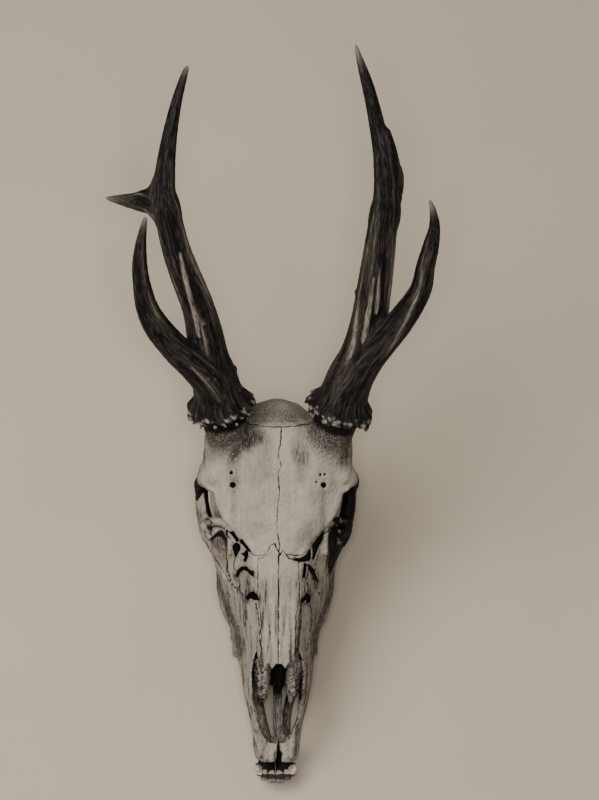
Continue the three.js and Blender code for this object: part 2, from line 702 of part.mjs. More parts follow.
const NOSE_ROOF = [ [ - 16.6, - 60.6 ], [ - 13, - 58.6 ], [ - 9.3, - 56.2 ], [ 9.3, - 56.8 ], [ 12, - 58.4 ],
	[ 14.6, - 61.8 ], [ 14.6, - 82 ], [ - 14.6, - 82 ] ];
const VACUITIES = [
	[ [ - 24.4, 2.6 ], [ - 22.6, 4.2 ], [ - 20.8, 3 ], [ - 20.4, 0.8 ], [ - 21.6, - 1.2 ], [ - 23.4, - 3 ] ],
	[ [ - 21.8, - 14 ], [ - 20.9, - 10.2 ], [ - 17.9, - 8.5 ], [ - 15.2, - 9.4 ], [ - 12.9, - 12.6 ], [ - 17.6, - 10.7 ],
		[ - 20.3, - 14.6 ] ],
	[ [ - 17.4, - 25.2 ], [ - 15.6, - 23 ], [ - 13.4, - 21.8 ], [ - 12, - 24 ], [ - 12, - 26.2 ], [ - 15.2, - 25.2 ],
		[ - 16.4, - 26.8 ] ],
	[ [ 13, - 2.8 ], [ 17.2, 0.8 ], [ 20.6, 5.8 ], [ 22.6, 6.2 ], [ 19.9, - 1.2 ], [ 19.4, - 5.7 ], [ 17, - 6.1 ], [ 13, - 5.3 ] ],
	[ [ 13.6, - 9 ], [ 16.6, - 9.6 ], [ 18.8, - 13.2 ], [ 19.3, - 16.4 ], [ 15.7, - 12.2 ], [ 13.6, - 18 ], [ 12.9, - 14 ] ],
	[ [ 12.4, - 26.8 ], [ 14, - 25.2 ], [ 15.4, - 23 ], [ 17, - 23.8 ], [ 17.5, - 26.9 ], [ 14.6, - 26.7 ] ],
];
const VACUITY_DEPTH = [ - 17, 20 ]; // w

function sided( outline, side ) {

	return outline.map( ( [ x, v ] ) => [ side * x, v ] );

}

function skullPieces() {

	const eye = ( side ) => ellipsoid( [ side * ORBIT.at[ 0 ], ORBIT.at[ 1 ], ORBIT.at[ 2 ] ], ORBIT.radii, 12, 8 );
	const pit = limb( TEAR_PIT_PATH, 6, 3 );
	const arch = archSide();
	const foramen = ellipsoid( [ 0, 68, - 52 ], [ 7, 10, 7 ], 8, 6 );
	const turbinate = ( side ) => limb( TURBINATE_PATH.map( ( [ x, v, w, r ] ) => [ side * x, v, w, r ] ), 8, 6 );
	const teeth = toothRow( UPPER_ROW[ 0 ], 4, - CROWN, 13, upperRowX );
	const choana = limb( [ [ 0, 2, - 60, 5.4 ], [ 0, 14, - 58, 5.6 ], [ 0, 26, - 60, 4.5 ] ], 8, 3 );
	let whole = skullBody().subtract( eye( 1 ) ).subtract( eye( - 1 ) ).subtract( choana );
	whole = whole.subtract( noseOpening() );
	whole = join( whole, brow(), arch, mirrored( arch ), occiput(), pterygoids(), teeth, mirrored( teeth ),
		pedicle( LEFT ), pedicle( RIGHT ) );
	whole = [ ...PALATE_SLITS.map( ( slit ) => prism( slit, - 60, - 12 ) ),
		...VACUITIES.map( ( gap ) => prism( gap, ...VACUITY_DEPTH ) ), foramen, pit, mirrored( pit ) ]
		.reduce( ( rest, hollow ) => rest.subtract( hollow ), whole );
	const pieces = [];
	const both = ( name, cutter ) => {

		for ( const [ side, word ] of [ [ - 1, 'left' ], [ 1, 'right' ] ] ) {

			const [ piece, rest ] = part( whole, ( margin ) => cutter( side, margin ) );
			whole = rest;
			pieces.push( [ `${name}_${word}`, piece ] );

		}

	};
	const near = ( margin ) => GAP / 2 - margin;
	const half = ( side, margin ) => side > 0 ? box( near( margin ), FAR, - FAR, FAR, - FAR, FAR )
		: box( - FAR, - near( margin ), - FAR, FAR, - FAR, FAR );
	both( 'nasal', ( side, margin ) => prism( sided( NASAL, side ), - 6, 60, margin ).intersect( half( side, margin ) ) );
	whole = whole.subtract( prism( NOSE_ROOF, - 6, 60 ) );
	both( 'premaxilla', ( side, margin ) => sidePrism( PREMAXILLA_SIDE, - FAR, FAR, margin )
		.intersect( half( side, margin ) ) );
	both( 'cheekbone', ( side, margin ) => join( prism( sided( JUGAL_FACE, side ), JUGAL_FLOOR, JUGAL_TOPS[ 0 ], margin ),
		prism( sided( JUGAL_ARCH, side ), JUGAL_FLOOR, JUGAL_TOPS[ 1 ], margin ) ) );
	both( 'frontal', ( side, margin ) => prism( sided( FRONTAL, side ), - 15.5, 60, margin )
		.intersect( half( side, margin ) ) );
	both( 'maxilla', ( side, margin ) => sidePrism( MAXILLA_SIDE, - FAR, FAR, margin ).intersect( half( side, margin ) ) );
	pieces.push( [ 'braincase', whole ] );
	return pieces.map( ( [ name, body ] ) => [ name, name.startsWith( 'maxilla' )
		? body.add( turbinate( name.endsWith( 'left' ) ? - 1 : 1 ) ) : body ] );

}

// --------------------------------------------------------------------------- lower jaw

// Incisors of one side, middle one first: x of the crown, half its width, and how far it lies back.
const INCISORS = [ [ 2.2, 2.2, 0 ], [ 6, 1.8, 0.8 ], [ 8.6, 1.4, 2.8 ], [ 9.9, 1.1, 5.2 ] ];

// Body and branch of the jaw. Each row: s, lower edge h, upper edge h, middle x, half thickness.
const JAW_PLAN = [
	[ - 4, - 12.5, - 8, 4.6, 3.4 ],
	[ 2, - 17, - 8.4, 4.8, 4.2 ],
	[ 14, - 19.4, - 10, 5.2, 3.6 ],
	[ 30, - 22, - 12, 7.2, 2.4 ],
	[ 45, - 24.8, - 12, 10.6, 3 ],
	[ 56, - 26.8, - 10, 13.6, 4.4 ],
	[ 75, - 30, - 9.5, 16.6, 5 ],
	[ 95, - 33.4, - 9.5, 19.6, 5.6 ],
	[ 114, - 36.7, - 9.5, 22.6, 5.4 ],
	[ 122, - 38.1, - 6, 24.4, 4.6 ],
	[ 129, - 39.3, 8, 26, 3.6 ],
	[ 136, - 40.5, 19, 27.6, 3.2 ],
	[ 143, - 41.6, 23, 29.2, 3.2 ],
	[ 149, - 39.5, 25, 30.6, 3 ],
	[ 153.5, - 31, 25.5, 31.4, 2.6 ],
	[ 156, - 18, 22, 31.8, 1.6 ],
];

function jawHalf( side ) {

	const at = track( JAW_PLAN );
	const sections = [];
	const section = ( s ) => {

		const [ low, high, x, thick ] = at( s );
		const ring = [];

		for ( let j = 0; j < JAW_SIDES; j ++ ) {

			const angle = j / JAW_SIDES * Math.PI * 2;
			const cx = Math.sign( Math.cos( angle ) ) * Math.abs( Math.cos( angle ) ) ** 0.8;
			const ch = Math.sign( Math.sin( angle ) ) * Math.abs( Math.sin( angle ) ) ** 0.8;
			const [ v, w ] = palate( s, ( low + high ) / 2 + ch * ( high - low ) / 2 );
			ring.push( new THREE.Vector3( side * ( x + cx * thick ), v, w ) );

		}

		return ring;

	};

	JAW_PLAN.forEach( ( [ s ], i ) => {

		if ( i > 0 && s - JAW_PLAN[ i - 1 ][ 0 ] > 17 ) sections.push( section( ( s + JAW_PLAN[ i - 1 ][ 0 ] ) / 2 ) );
		sections.push( section( s ) );

	} );

	const along = ( rows ) => rows.map( ( [ x, s, h, r ] ) => [ side * x, ...palate( s, h ), r ] );
	const coronoid = limb( along( [ [ 26.8, 131, 6, 5 ], [ 28.6, 133, 20, 4.2 ], [ 30.2, 135.5, 33, 3.2 ],
		[ 31, 139.5, 42, 2.4 ], [ 31.2, 143.5, 47, 1 ] ] ), 6, 4 );
	const condyle = ellipsoid( [ side * 29, ...palate( 150.5, 25.4 ) ], [ 6.6, 4, 3.2 ], 8, 5 );
	let teeth = toothRow( UPPER_ROW[ 0 ] - 1, - LOWER_CROWN - CROWN - 4, - CROWN - GAP, 9, lowerRowX );
	if ( side < 0 ) teeth = mirrored( teeth );
	const fan = INCISORS.map( ( [ x, wide, back ] ) => {

		return limb( along( [ [ 0.5 * x + 1, 2, - 13, 1.3 ], [ 0.82 * x, - 3.4 + 0.5 * back, - 10.2, 1.4 ],
			[ x, - 7 + back, - 7, wide ], [ x, - 10.6 + back, - 3, wide * 0.9 ] ] ), 5, 3, { flat: 0.6 } );

	} );
	return join( loft( sections ), coronoid, condyle, teeth, ...fan )
		.intersect( side > 0 ? box( GAP / 2, FAR, - FAR, FAR, - FAR, FAR ) : box( - FAR, - GAP / 2, - FAR, FAR, - FAR, FAR ) );

}

// ------------------------------------------------------------------------------ assembly

const bone = new THREE.MeshStandardMaterial( { color: BONE, roughness: 0.72, metalness: 0 } );
const toothed = new THREE.MeshStandardMaterial( { color: TOOTH_BONE, roughness: 0.6, metalness: 0 } );
const horn = new THREE.MeshStandardMaterial( { color: HORN, roughness: 0.62, metalness: 0 } );

const object = new THREE.Group();
object.name = 'roe_deer_skull';
const skull = new THREE.Group();
skull.name = 'skull';
const jaw = new THREE.Group();
jaw.name = 'lower_jaw';
const antlers = new THREE.Group();
antlers.name = 'antlers';
object.add( skull, jaw, antlers );

function addMesh( group, name, body, material ) {

	const mesh = new THREE.Mesh( geometryOf( body ), material );
	mesh.name = name;
	mesh.geometry.rotateX( radians( REST_TILT ) );
	group.add( mesh );

}

for ( const [ name, body ] of skullPieces() ) {

	addMesh( skull, name, body, name.startsWith( 'maxilla' ) ? toothed : bone );

}

addMesh( jaw, 'mandible_left', jawHalf( - 1 ), toothed );
addMesh( jaw, 'mandible_right', jawHalf( 1 ), toothed );

for ( const [ antler, name ] of [ [ LEFT, 'left' ], [ RIGHT, 'right' ] ] ) {

	for ( const [ piece, body ] of antlerPieces( antler, name ) ) addMesh( antlers, piece, body, horn );

}

// Origin under the middle of the bounding box, on the table.
const bounds = new THREE.Box3().setFromObject( object );
const middle = bounds.getCenter( new THREE.Vector3() );
object.traverse( ( child ) => {

	if ( child.isMesh ) child.geometry.translate( - middle.x, - middle.y, - bounds.min.z );

} );

export default object;
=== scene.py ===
"""Roe deer skull of an old six-point buck: bones, teeth, antlers and their finishes.

The bones are laid out in the face frame, in millimetres: x to the right, v up the face from
the nose to the antlers, w out of the face. v = 0 and w = 0 are where the nasal bones meet the
frontals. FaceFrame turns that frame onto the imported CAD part. Most bones are worked out as
signed distances on a cubic grid, to which limbs, balls and plates are joined or from which
they are cut, and whose zero level becomes the mesh.
"""

from __future__ import annotations

import logging
import math
from collections.abc import Callable, Sequence
from dataclasses import dataclass, field
from enum import Enum

import bpy
import numpy as np
from mathutils import Matrix, Vector


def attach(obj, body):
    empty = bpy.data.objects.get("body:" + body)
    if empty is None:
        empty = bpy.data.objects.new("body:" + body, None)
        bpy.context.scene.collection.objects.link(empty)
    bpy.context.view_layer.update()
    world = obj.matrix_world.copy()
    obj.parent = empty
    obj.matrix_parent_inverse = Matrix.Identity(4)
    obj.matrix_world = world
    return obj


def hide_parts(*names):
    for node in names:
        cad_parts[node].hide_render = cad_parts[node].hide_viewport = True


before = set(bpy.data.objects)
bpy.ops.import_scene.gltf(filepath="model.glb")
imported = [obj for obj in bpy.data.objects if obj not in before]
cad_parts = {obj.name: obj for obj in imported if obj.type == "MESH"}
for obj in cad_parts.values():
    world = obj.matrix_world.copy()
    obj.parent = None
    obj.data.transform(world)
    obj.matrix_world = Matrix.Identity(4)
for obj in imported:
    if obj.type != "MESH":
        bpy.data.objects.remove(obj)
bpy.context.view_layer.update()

LOG = logging.getLogger("roe_deer_skull")
BODY = "root"

MM = 0.001  # one millimetre in metres
REST_TILT = math.radians(24.6)  # nasal line against the table
PALATE_TILT = math.radians(15)  # tooth rows against the nasal line
SOCKET_FRONT = -114.6  # v of the front end of the line of tooth sockets
SOCKET_HEIGHT = -27.0  # w of the same end
GAP = 0.3  # open seam between neighbouring CAD solids
SEAM = 0.14  # open seam between neighbouring bones
OPEN = 9.0  # distance that an empty grid starts with
BRAINCASE_SHARE = 1.22  # how much longer the step is on the braincase, the largest bone
FINE_STEP = 0.5  # grid step of the bones
ANTLER_STEP = 0.5  # grid step of the antlers
SEED = 4

Array = np.ndarray
Rows = Sequence[Sequence[float]]


class Side(Enum):
    """The two sides of the head, as the sign of x."""

    LEFT = -1
    RIGHT = 1

    @property
    def word(self) -> str:
        """The side's name as the CAD nodes write it."""
        return self.name.lower()


# ------------------------------------------------------------------------- places and curves


@dataclass(frozen=True)
class FaceFrame:
    """Turns points of the face frame, in mm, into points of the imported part, in metres."""

    origin: Array

    @classmethod
    def from_cad(cls, node: bpy.types.Object) -> FaceFrame:
        """The frame read off the right nasal bone, whose floor, tip and inner edge are known.

        Args:
            node: the CAD node of the right nasal bone.

        Returns:
            The frame with the CAD part's own origin.
        """
        floor, top, inner = -6.0, 3.8, GAP / 2
        points = np.array([vertex.co for vertex in node.data.vertices]) / MM
        level = points @ turn_about_x(REST_TILT)
        seen = np.array([level[:, 0].min(), level[:, 1].max(), level[:, 2].min()])
        return cls(seen - np.array([inner, top, floor]))

    def place(self, points: Array) -> Array:
        """Points in metres in the row frame: shifted, then turned nose down."""
        return (points + self.origin) @ turn_about_x(REST_TILT).T * MM

    def turn(self, direction: Array) -> Array:
        """A direction of the face frame as a direction of the row frame."""
        return turn_about_x(REST_TILT) @ direction


def turn_about_x(angle: float) -> Array:
    """Rotation matrix about the x axis."""
    c, s = math.cos(angle), math.sin(angle)
    return np.array([[1, 0, 0], [0, c, -s], [0, s, c]])


def palate(s: float, h: float) -> tuple[float, float]:
    """v and w of a point s behind the front end and h above the line of the tooth sockets."""
    c, n = math.cos(PALATE_TILT), math.sin(PALATE_TILT)
    return SOCKET_FRONT + s * c + h * n, SOCKET_HEIGHT - s * n + h * c


def track(rows: Rows, at: Array) -> Array:
    """Values at places along rows of [t, value, ...], on a curve that never overshoots a row.

    The slope at a row is the harmonic mean of the rises beside it, and the curve between two
    rows is the cubic Hermite of their values and slopes.

    Args:
        rows: the rows, t rising.
        at: the places, any shape.

    Returns:
        The values, with one more axis than at, of the rows' values.
    """
    table = np.asarray(rows, float)
    t, values = table[:, 0], table[:, 1:]
    rise = np.diff(values, axis=0) / np.diff(t)[:, None]
    slope = np.empty_like(values)
    slope[0], slope[-1] = rise[0], rise[-1]
    product = rise[:-1] * rise[1:]
    total = rise[:-1] + rise[1:]
    safe = np.where(product > 0, total, 1.0)
    slope[1:-1] = np.where(product > 0, 2 * product / safe, 0.0)
    i = np.clip(np.searchsorted(t, at, side="right") - 1, 0, len(t) - 2)
    span = (t[i + 1] - t[i])[..., None]
    u = np.clip((np.asarray(at) - t[i])[..., None] / span, 0, 1)
    a = (1 + 2 * u) * (1 - u) ** 2
    b = u * (1 - u) ** 2
    c = u * u * (3 - 2 * u)
    d = u * u * (u - 1)
    return a * values[i] + b * span * slope[i] + c * values[i + 1] + d * span * slope[i + 1]


def curve_through(points: Array, count: int, closed: bool = False) -> Array:
    """Points along the Catmull-Rom curve through given points, even in its parameter.

    Args:
        points: the given points, shape (..., n, dimensions).
        count: how many points to return.
        closed: whether the last point joins the first.

    Returns:
        The points, shape (..., count, dimensions).
    """
    n = points.shape[-2]
    spans = n if closed else n - 1
    at = np.arange(count) / (count if closed else count - 1) * spans
    i = np.minimum(at.astype(int), spans - 1)
    u = (at - i)[:, None]
    if closed:
        around = [(i + k) % n for k in (-1, 0, 1, 2)]
    else:
        around = [np.clip(i + k, 0, n - 1) for k in (-1, 0, 1, 2)]
    p0, p1, p2, p3 = (points[..., k, :] for k in around)
    return 0.5 * (
        2 * p1 + (p2 - p0) * u + (2 * p0 - 5 * p1 + 4 * p2 - p3) * u**2 + (3 * p1 - p0 - 3 * p2 + p3) * u**3
    )


def waves(points: Array, length: float, seed: int, count: int = 10) -> Array:
    """Smooth pseudo-random ripple over space: the mean of sine waves in random directions.

    Args:
        points: the places, shape (n, 3).
        length: mean wave length.
        seed: of the directions and phases.
        count: how many waves.

    Returns:
        Values of about -1 to 1, one for each place.
    """
    random = np.random.default_rng(seed)
    direction = random.normal(size=(count, 3))
    direction /= np.linalg.norm(direction, axis=1)[:, None]
    rate = math.tau / length * random.uniform(0.6, 1.5, count)
    phase = random.uniform(0, math.tau, count)
    return np.sin(points @ (direction * rate[:, None]).T + phase).sum(axis=1) / math.sqrt(count)


def smooth_step(value: Array, low: float, high: float) -> Array:
    """0 below low and 1 above high, with an S curve between."""
    u = np.clip((value - low) / (high - low), 0, 1)
    return u * u * (3 - 2 * u)


def smooth_min(a: Array, b: Array, blend: float) -> Array:
    """The lesser of two distances, rounded where they are within blend of each other."""
    if blend <= 0:
        return np.minimum(a, b)
    h = np.maximum(blend - np.abs(a - b), 0) / blend
    return np.minimum(a, b) - h * h * blend / 4


# ------------------------------------------------------------------------------- grid shapes


@dataclass(frozen=True)
class Limb:
    """A limb of round or flattened section along stations of x, v, w and radius."""

    stations: Rows
    flat: float = 1.0  # height over width, across x
    pieces: int = 4  # straight pieces between two stations

    def mirrored(self) -> Limb:
        """The same limb on the other side of the head."""
        return Limb([(-x, v, w, r) for x, v, w, r in self.stations], self.flat, self.pieces)

    def knots(self) -> tuple[Array, Array]:
        """Points along the limb's middle and the radius at each."""
        stations = np.asarray(self.stations, float)
        count = (len(stations) - 1) * self.pieces + 1
        middle = curve_through(stations[:, :3], count)
        place = np.linspace(0, 1, len(stations))
        rows = np.column_stack([place, stations[:, 3]])
        return middle, track(rows, np.linspace(0, 1, count))[:, 0]

    def join(self, grid: Grid) -> tuple[Window, Array]:
        """Distances to the limb near it: to its middle line, less the radius there.

        Each straight piece is measured only in its own box of the grid. Across a flattened
        limb, the height counts for less by its share of the width.

        Args:
            grid: the grid to measure on.

        Returns:
            The window of the grid round the limb, and the distances in it.
        """
        middle, radius = self.knots()
        reach = radius.max() * max(1, self.flat) + OPEN / 2
        window = grid.window(middle.min(0) - reach, middle.max(0) + reach)
        distance = np.full([s.stop - s.start for s in window], OPEN, np.float32)
        for start, end, r0, r1 in zip(middle[:-1], middle[1:], radius[:-1], radius[1:]):
            near = max(r0, r1) * max(1, self.flat) + OPEN / 2
            inner = grid.window(np.minimum(start, end) - near, np.maximum(start, end) + near)
            x, v, w = grid.axes(inner)
            span = end - start
            length = float(np.linalg.norm(span)) + 1e-9
            along = span / length
            side = np.array([1.0, 0, 0]) - along[0] * along
            side /= np.linalg.norm(side) + 1e-9
            up = np.cross(along, side)
            dx, dv, dw = x - start[0], v - start[1], w - start[2]
            run = dx * along[0] + dv * along[1] + dw * along[2]
            share = np.clip(run / length, 0, 1)
            past = run - share * length
            across = dx * side[0] + dv * side[1] + dw * side[2]
            height = (dx * up[0] + dv * up[1] + dw * up[2]) / self.flat
            here = np.sqrt(past**2 + across**2 + height**2) - (r0 + share * (r1 - r0))
            local = tuple(slice(i.start - o.start, i.stop - o.start) for i, o in zip(inner, window))
            distance[local] = np.minimum(distance[local], here)
        return window, distance


@dataclass(frozen=True)
class Ball:
    """An ellipsoid with its axes along x, v and w."""

    centre: Sequence[float]
    radii: Sequence[float]

    def mirrored(self) -> Ball:
        """The same ball on the other side of the head."""
        return Ball((-self.centre[0], *self.centre[1:]), self.radii)

    def join(self, grid: Grid) -> tuple[Window, Array]:
        """Distances to the ball: its scaled radius less one, over the slope of that."""
        centre, radii = np.asarray(self.centre, float), np.asarray(self.radii, float)
        window = grid.window(centre - radii - OPEN / 2, centre + radii + OPEN / 2)
        x, v, w = ((a - c) for a, c in zip(grid.axes(window), centre))
        size = np.sqrt((x / radii[0]) ** 2 + (v / radii[1]) ** 2 + (w / radii[2]) ** 2)
        slope = np.sqrt((x / radii[0] ** 2) ** 2 + (v / radii[1] ** 2) ** 2 + (w / radii[2] ** 2) ** 2)
        return window, (size * (size - 1) / np.maximum(slope, 1e-6)).astype(np.float32)


@dataclass(frozen=True)
class Prism:
    """Everything inside an outline seen from the front, [x, v], or from the side, [v, w]."""

    outline: Rows
    low: float
    high: float
    from_side: bool = False
    ripple: float = 0.0  # how far a suture wanders off the outline

    def distance(self, grid: Grid, window: Window) -> Array:
        """Distances to the prism: the greater of that to its outline and that to its ends."""
        x, v, w = grid.axes(window)
        across, along, depth = (v, w, x) if self.from_side else (x, v, w)
        if self.ripple:
            across = across + self.ripple * jagged(along + 0.3 * across)
            along = along + self.ripple * jagged(across * 1.1 + 5)
        flat = outline_distance(across, along, self.outline)
        ends = np.maximum(depth - self.high, self.low - depth)
        return np.maximum(flat, ends).astype(np.float32)

    def join(self, grid: Grid) -> tuple[Window, Array]:
        """Distances to the prism over the whole grid."""
        window = grid.whole()
        return window, self.distance(grid, window)


def jagged(along: Array) -> Array:
    """How a suture wanders: a slow sine, and quick ones that come and go along it."""
    quick = np.sin(5.1 * along + 1.3) * (0.35 + 0.65 * np.sin(0.83 * along) ** 2)
    return (
        0.7 * np.sin(0.93 * along) + 0.6 * quick
        + 0.45 * np.sin(9.7 * along) * np.sin(0.57 * along + 2) ** 2
    )


def outline_distance(a: Array, b: Array, outline: Rows) -> Array:
    """Signed distance to a closed outline of [a, b] points, negative inside.

    The least distance to its straight pieces, with the sign of how often a ray crosses them.
    """
    corners = np.asarray(outline, float)
    a, b = np.broadcast_arrays(a, b)
    best = np.full(a.shape, np.inf)
    inside = np.zeros(a.shape, bool)
    for (a0, b0), (a1, b1) in zip(corners, np.roll(corners, -1, axis=0)):
        da, db = a1 - a0, b1 - b0
        share = np.clip(((a - a0) * da + (b - b0) * db) / (da * da + db * db), 0, 1)
        best = np.minimum(best, (a - a0 - share * da) ** 2 + (b - b0 - share * db) ** 2)
        crossed = ((b0 > b) != (b1 > b)) & (a < da * (b - b0) / (db if db else 1e-9) + a0)
        inside ^= crossed
    return np.sqrt(best) * np.where(inside, -1, 1)


Window = tuple[slice, slice, slice]
Shape = Limb | Ball | Prism


class Grid:
    """Signed distances to a body on a cubic grid, in mm, negative inside."""

    def __init__(self, low: Sequence[float], high: Sequence[float], step: float) -> None:
        """An empty grid over a box.

        Args:
            low: the box's lowest corner.
            high: its highest corner.
            step: the distance between neighbouring points.
        """
        self.low = np.asarray(low, float)
        self.step = step
        self.count = np.ceil((np.asarray(high) - self.low) / step).astype(int) + 1
        self.value = np.full(self.count, OPEN, np.float32)

    def window(self, low: Array, high: Array) -> Window:
        """The slices of the grid that cover a box."""
        first = np.clip(np.floor((np.asarray(low) - self.low) / self.step), 0, self.count - 1)
        last = np.clip(np.ceil((np.asarray(high) - self.low) / self.step), 1, self.count - 1)
        return tuple(slice(int(a), int(b) + 1) for a, b in zip(first, last))

    def whole(self) -> Window:
        """The slices of the whole grid."""
        return tuple(slice(0, int(n)) for n in self.count)

    def axes(self, window: Window) -> tuple[Array, Array, Array]:
        """x, v and w of a window's points, each along its own axis."""
        x, v, w = (
            (self.low[k] + np.arange(window[k].start, window[k].stop) * self.step).astype(np.float32)
            for k in range(3)
        )
        return x[:, None, None], v[None, :, None], w[None, None, :]

    def add(self, *shapes: Shape, blend: float = 0.0) -> None:
        """Joins shapes to the body, with a fillet of about blend."""
        for shape in shapes:
            window, distance = shape.join(self)
            self.value[window] = smooth_min(self.value[window], distance, blend)

    def cut(self, *shapes: Shape, blend: float = 0.0) -> None:
        """Takes shapes away from the body, with an edge rounded by about blend."""
        for shape in shapes:
            window, distance = shape.join(self)
            self.value[window] = -smooth_min(-self.value[window], distance, blend)

    def coarser(self, share: float) -> Grid:
        """The same distances on a grid with a step longer by a share, read between the points."""
        made = Grid(self.low, self.low, self.step * share)
        made.value = self.value
        for axis in range(3):
            at = np.arange(int((made.value.shape[axis] - 1) / share) + 1) * share
            first = np.minimum(at.astype(int), made.value.shape[axis] - 2)
            part = np.expand_dims(at - first, [k for k in range(3) if k != axis]).astype(np.float32)
            made.value = (
                np.take(made.value, first, axis) * (1 - part)
                + np.take(made.value, first + 1, axis) * part
            )
        made.count = np.array(made.value.shape)
        return made

    def sample(self, values: Array, points: Array) -> Array:
        """Values of the grid's points nearest to given points."""
        index = np.rint((points - self.low) / self.step).astype(int)
        index = np.clip(index, 0, np.array(values.shape) - 1)
        return values[index[:, 0], index[:, 1], index[:, 2]]

    def fullness(self, reach: float) -> Array:
        """The share of bone within about reach of each point, by a running mean, twice."""
        full = np.clip(0.5 - self.value / self.step, 0, 1)
        width = max(1, round(reach / self.step))
        for _ in range(2):
            for axis in range(3):
                total = np.cumsum(
                    np.pad(
                        full, [(width + 1, width) if k == axis else (0, 0) for k in range(3)], mode="edge"
                    ),
                    axis=axis
                )
                ahead = np.take(total, np.arange(2 * width + 1, total.shape[axis]), axis=axis)
                behind = np.take(total, np.arange(0, total.shape[axis] - 2 * width - 1), axis=axis)
                full = (ahead - behind) / (2 * width + 1)
        return full

    def surface(self) -> tuple[Array, Array]:
        """The zero level as a closed skin of quads.

        Each cell that the level passes through gets one point, the mean of where the level
        crosses the cell's edges, and each crossed edge gets a quad between its four cells.

        Returns:
            The points, shape (n, 3), and the quads' point numbers, shape (m, 4).
        """
        inside = self.value < 0
        shape = self.count - 1
        spots, owners, quads = [], [], []
        for axis in range(3):
            first = tuple(slice(0, -1) if k == axis else slice(1, -1) for k in range(3))
            second = tuple(slice(1, None) if k == axis else slice(1, -1) for k in range(3))
            crossed = np.argwhere(inside[first] != inside[second])
            crossed += np.array([0 if k == axis else 1 for k in range(3)])
            step = np.eye(3, dtype=int)[axis]
            near = self.value[tuple(crossed.T)]
            far = self.value[tuple((crossed + step).T)]
            share = near / (near - far)
            spot = crossed + share[:, None] * step
            b, c = (axis + 1) % 3, (axis + 2) % 3
            corners = []
            for db, dc in ((0, 0), (-1, 0), (-1, -1), (0, -1)):
                cell = crossed.copy()
                cell[:, b] += db
                cell[:, c] += dc
                corners.append(np.ravel_multi_index(cell.T, shape))
            ring = np.stack(corners, axis=1)
            quads.append(np.where((near < 0)[:, None], ring, ring[:, ::-1]))
            spots.append(np.repeat(spot, 4, axis=0))
            owners.append(ring.ravel())
        owner, number = np.unique(np.concatenate(owners), return_inverse=True)
        spot = np.concatenate(spots)
        tally = np.bincount(number, minlength=len(owner))
        points = np.stack([np.bincount(number, spot[:, k]) / tally for k in range(3)], axis=1)
        faces = np.searchsorted(owner, np.concatenate(quads))
        return self.low + points * self.step, faces


def relaxed(points: Array, faces: Array, passes: int) -> Array:
    """Points moved towards the mean of their neighbours, then back out by nearly as much."""
    links = np.concatenate([faces[:, [0, 1]], faces[:, [1, 2]], faces[:, [2, 3]], faces[:, [3, 0]]])
    links = np.concatenate([links, links[:, ::-1]])
    tally = np.maximum(np.bincount(links[:, 0], minlength=len(points)), 1)[:, None]
    for _ in range(passes):
        for share in (0.5, -0.42):
            total = [np.bincount(links[:, 0], points[links[:, 1], k], len(points)) for k in range(3)]
            points = points + share * (np.stack(total, axis=1) / tally - points)
    return points


def outward(points: Array, faces: Array) -> Array:
    """Unit normals at a skin's points: the mean of those of the faces that meet there."""
    across = np.cross(points[faces[:, 2]] - points[faces[:, 0]], points[faces[:, 3]] - points[faces[:, 1]])
    total = np.stack(
        [
            sum(np.bincount(faces[:, corner], across[:, k], len(points)) for corner in range(4))
            for k in range(3)
        ],
        axis=1,
    )
    return total / (np.linalg.norm(total, axis=1)[:, None] + 1e-12)


# ----------------------------------------------------------------------------- shader helpers


class Tone:
    """A shader value that adds Math nodes when it is used in an expression."""

    def __init__(self, shader: Shader, socket: bpy.types.NodeSocket) -> None:
        """Wraps a socket.

        Args:
            shader: the shader whose tree holds the socket.
            socket: an output that carries one number.
        """
        self.shader = shader
        self.socket = socket

    def math(self, operation: str, *others: Tone | float, clamp: bool = False) -> Tone:
        """A Math node on this value and others, in that order."""
        return self.shader.math(operation, self, *others, clamp=clamp)

    def __add__(self, other: Tone | float) -> Tone:
        """Sum."""
        return self.math("ADD", other)

    __radd__ = __add__

    def __mul__(self, other: Tone | float) -> Tone:
        """Product."""
        return self.math("MULTIPLY", other)

    __rmul__ = __mul__

    def __sub__(self, other: Tone | float) -> Tone:
        """Difference."""
        return self.math("SUBTRACT", other)

    def __rsub__(self, other: float) -> Tone:
        """A number less this value."""
        return self.shader.math("SUBTRACT", other, self)

    def __pow__(self, other: Tone | float) -> Tone:
        """Power."""
        return self.math("POWER", other)

    def clamped(self) -> Tone:
        """The value held between 0 and 1."""
        return self.math("ADD", 0.0, clamp=True)

    def between(self, low: float, high: float) -> Tone:
        """0 at low and 1 at high, straight between and clamped."""
        return self.math("MULTIPLY_ADD", 1 / (high - low), -low / (high - low), clamp=True)


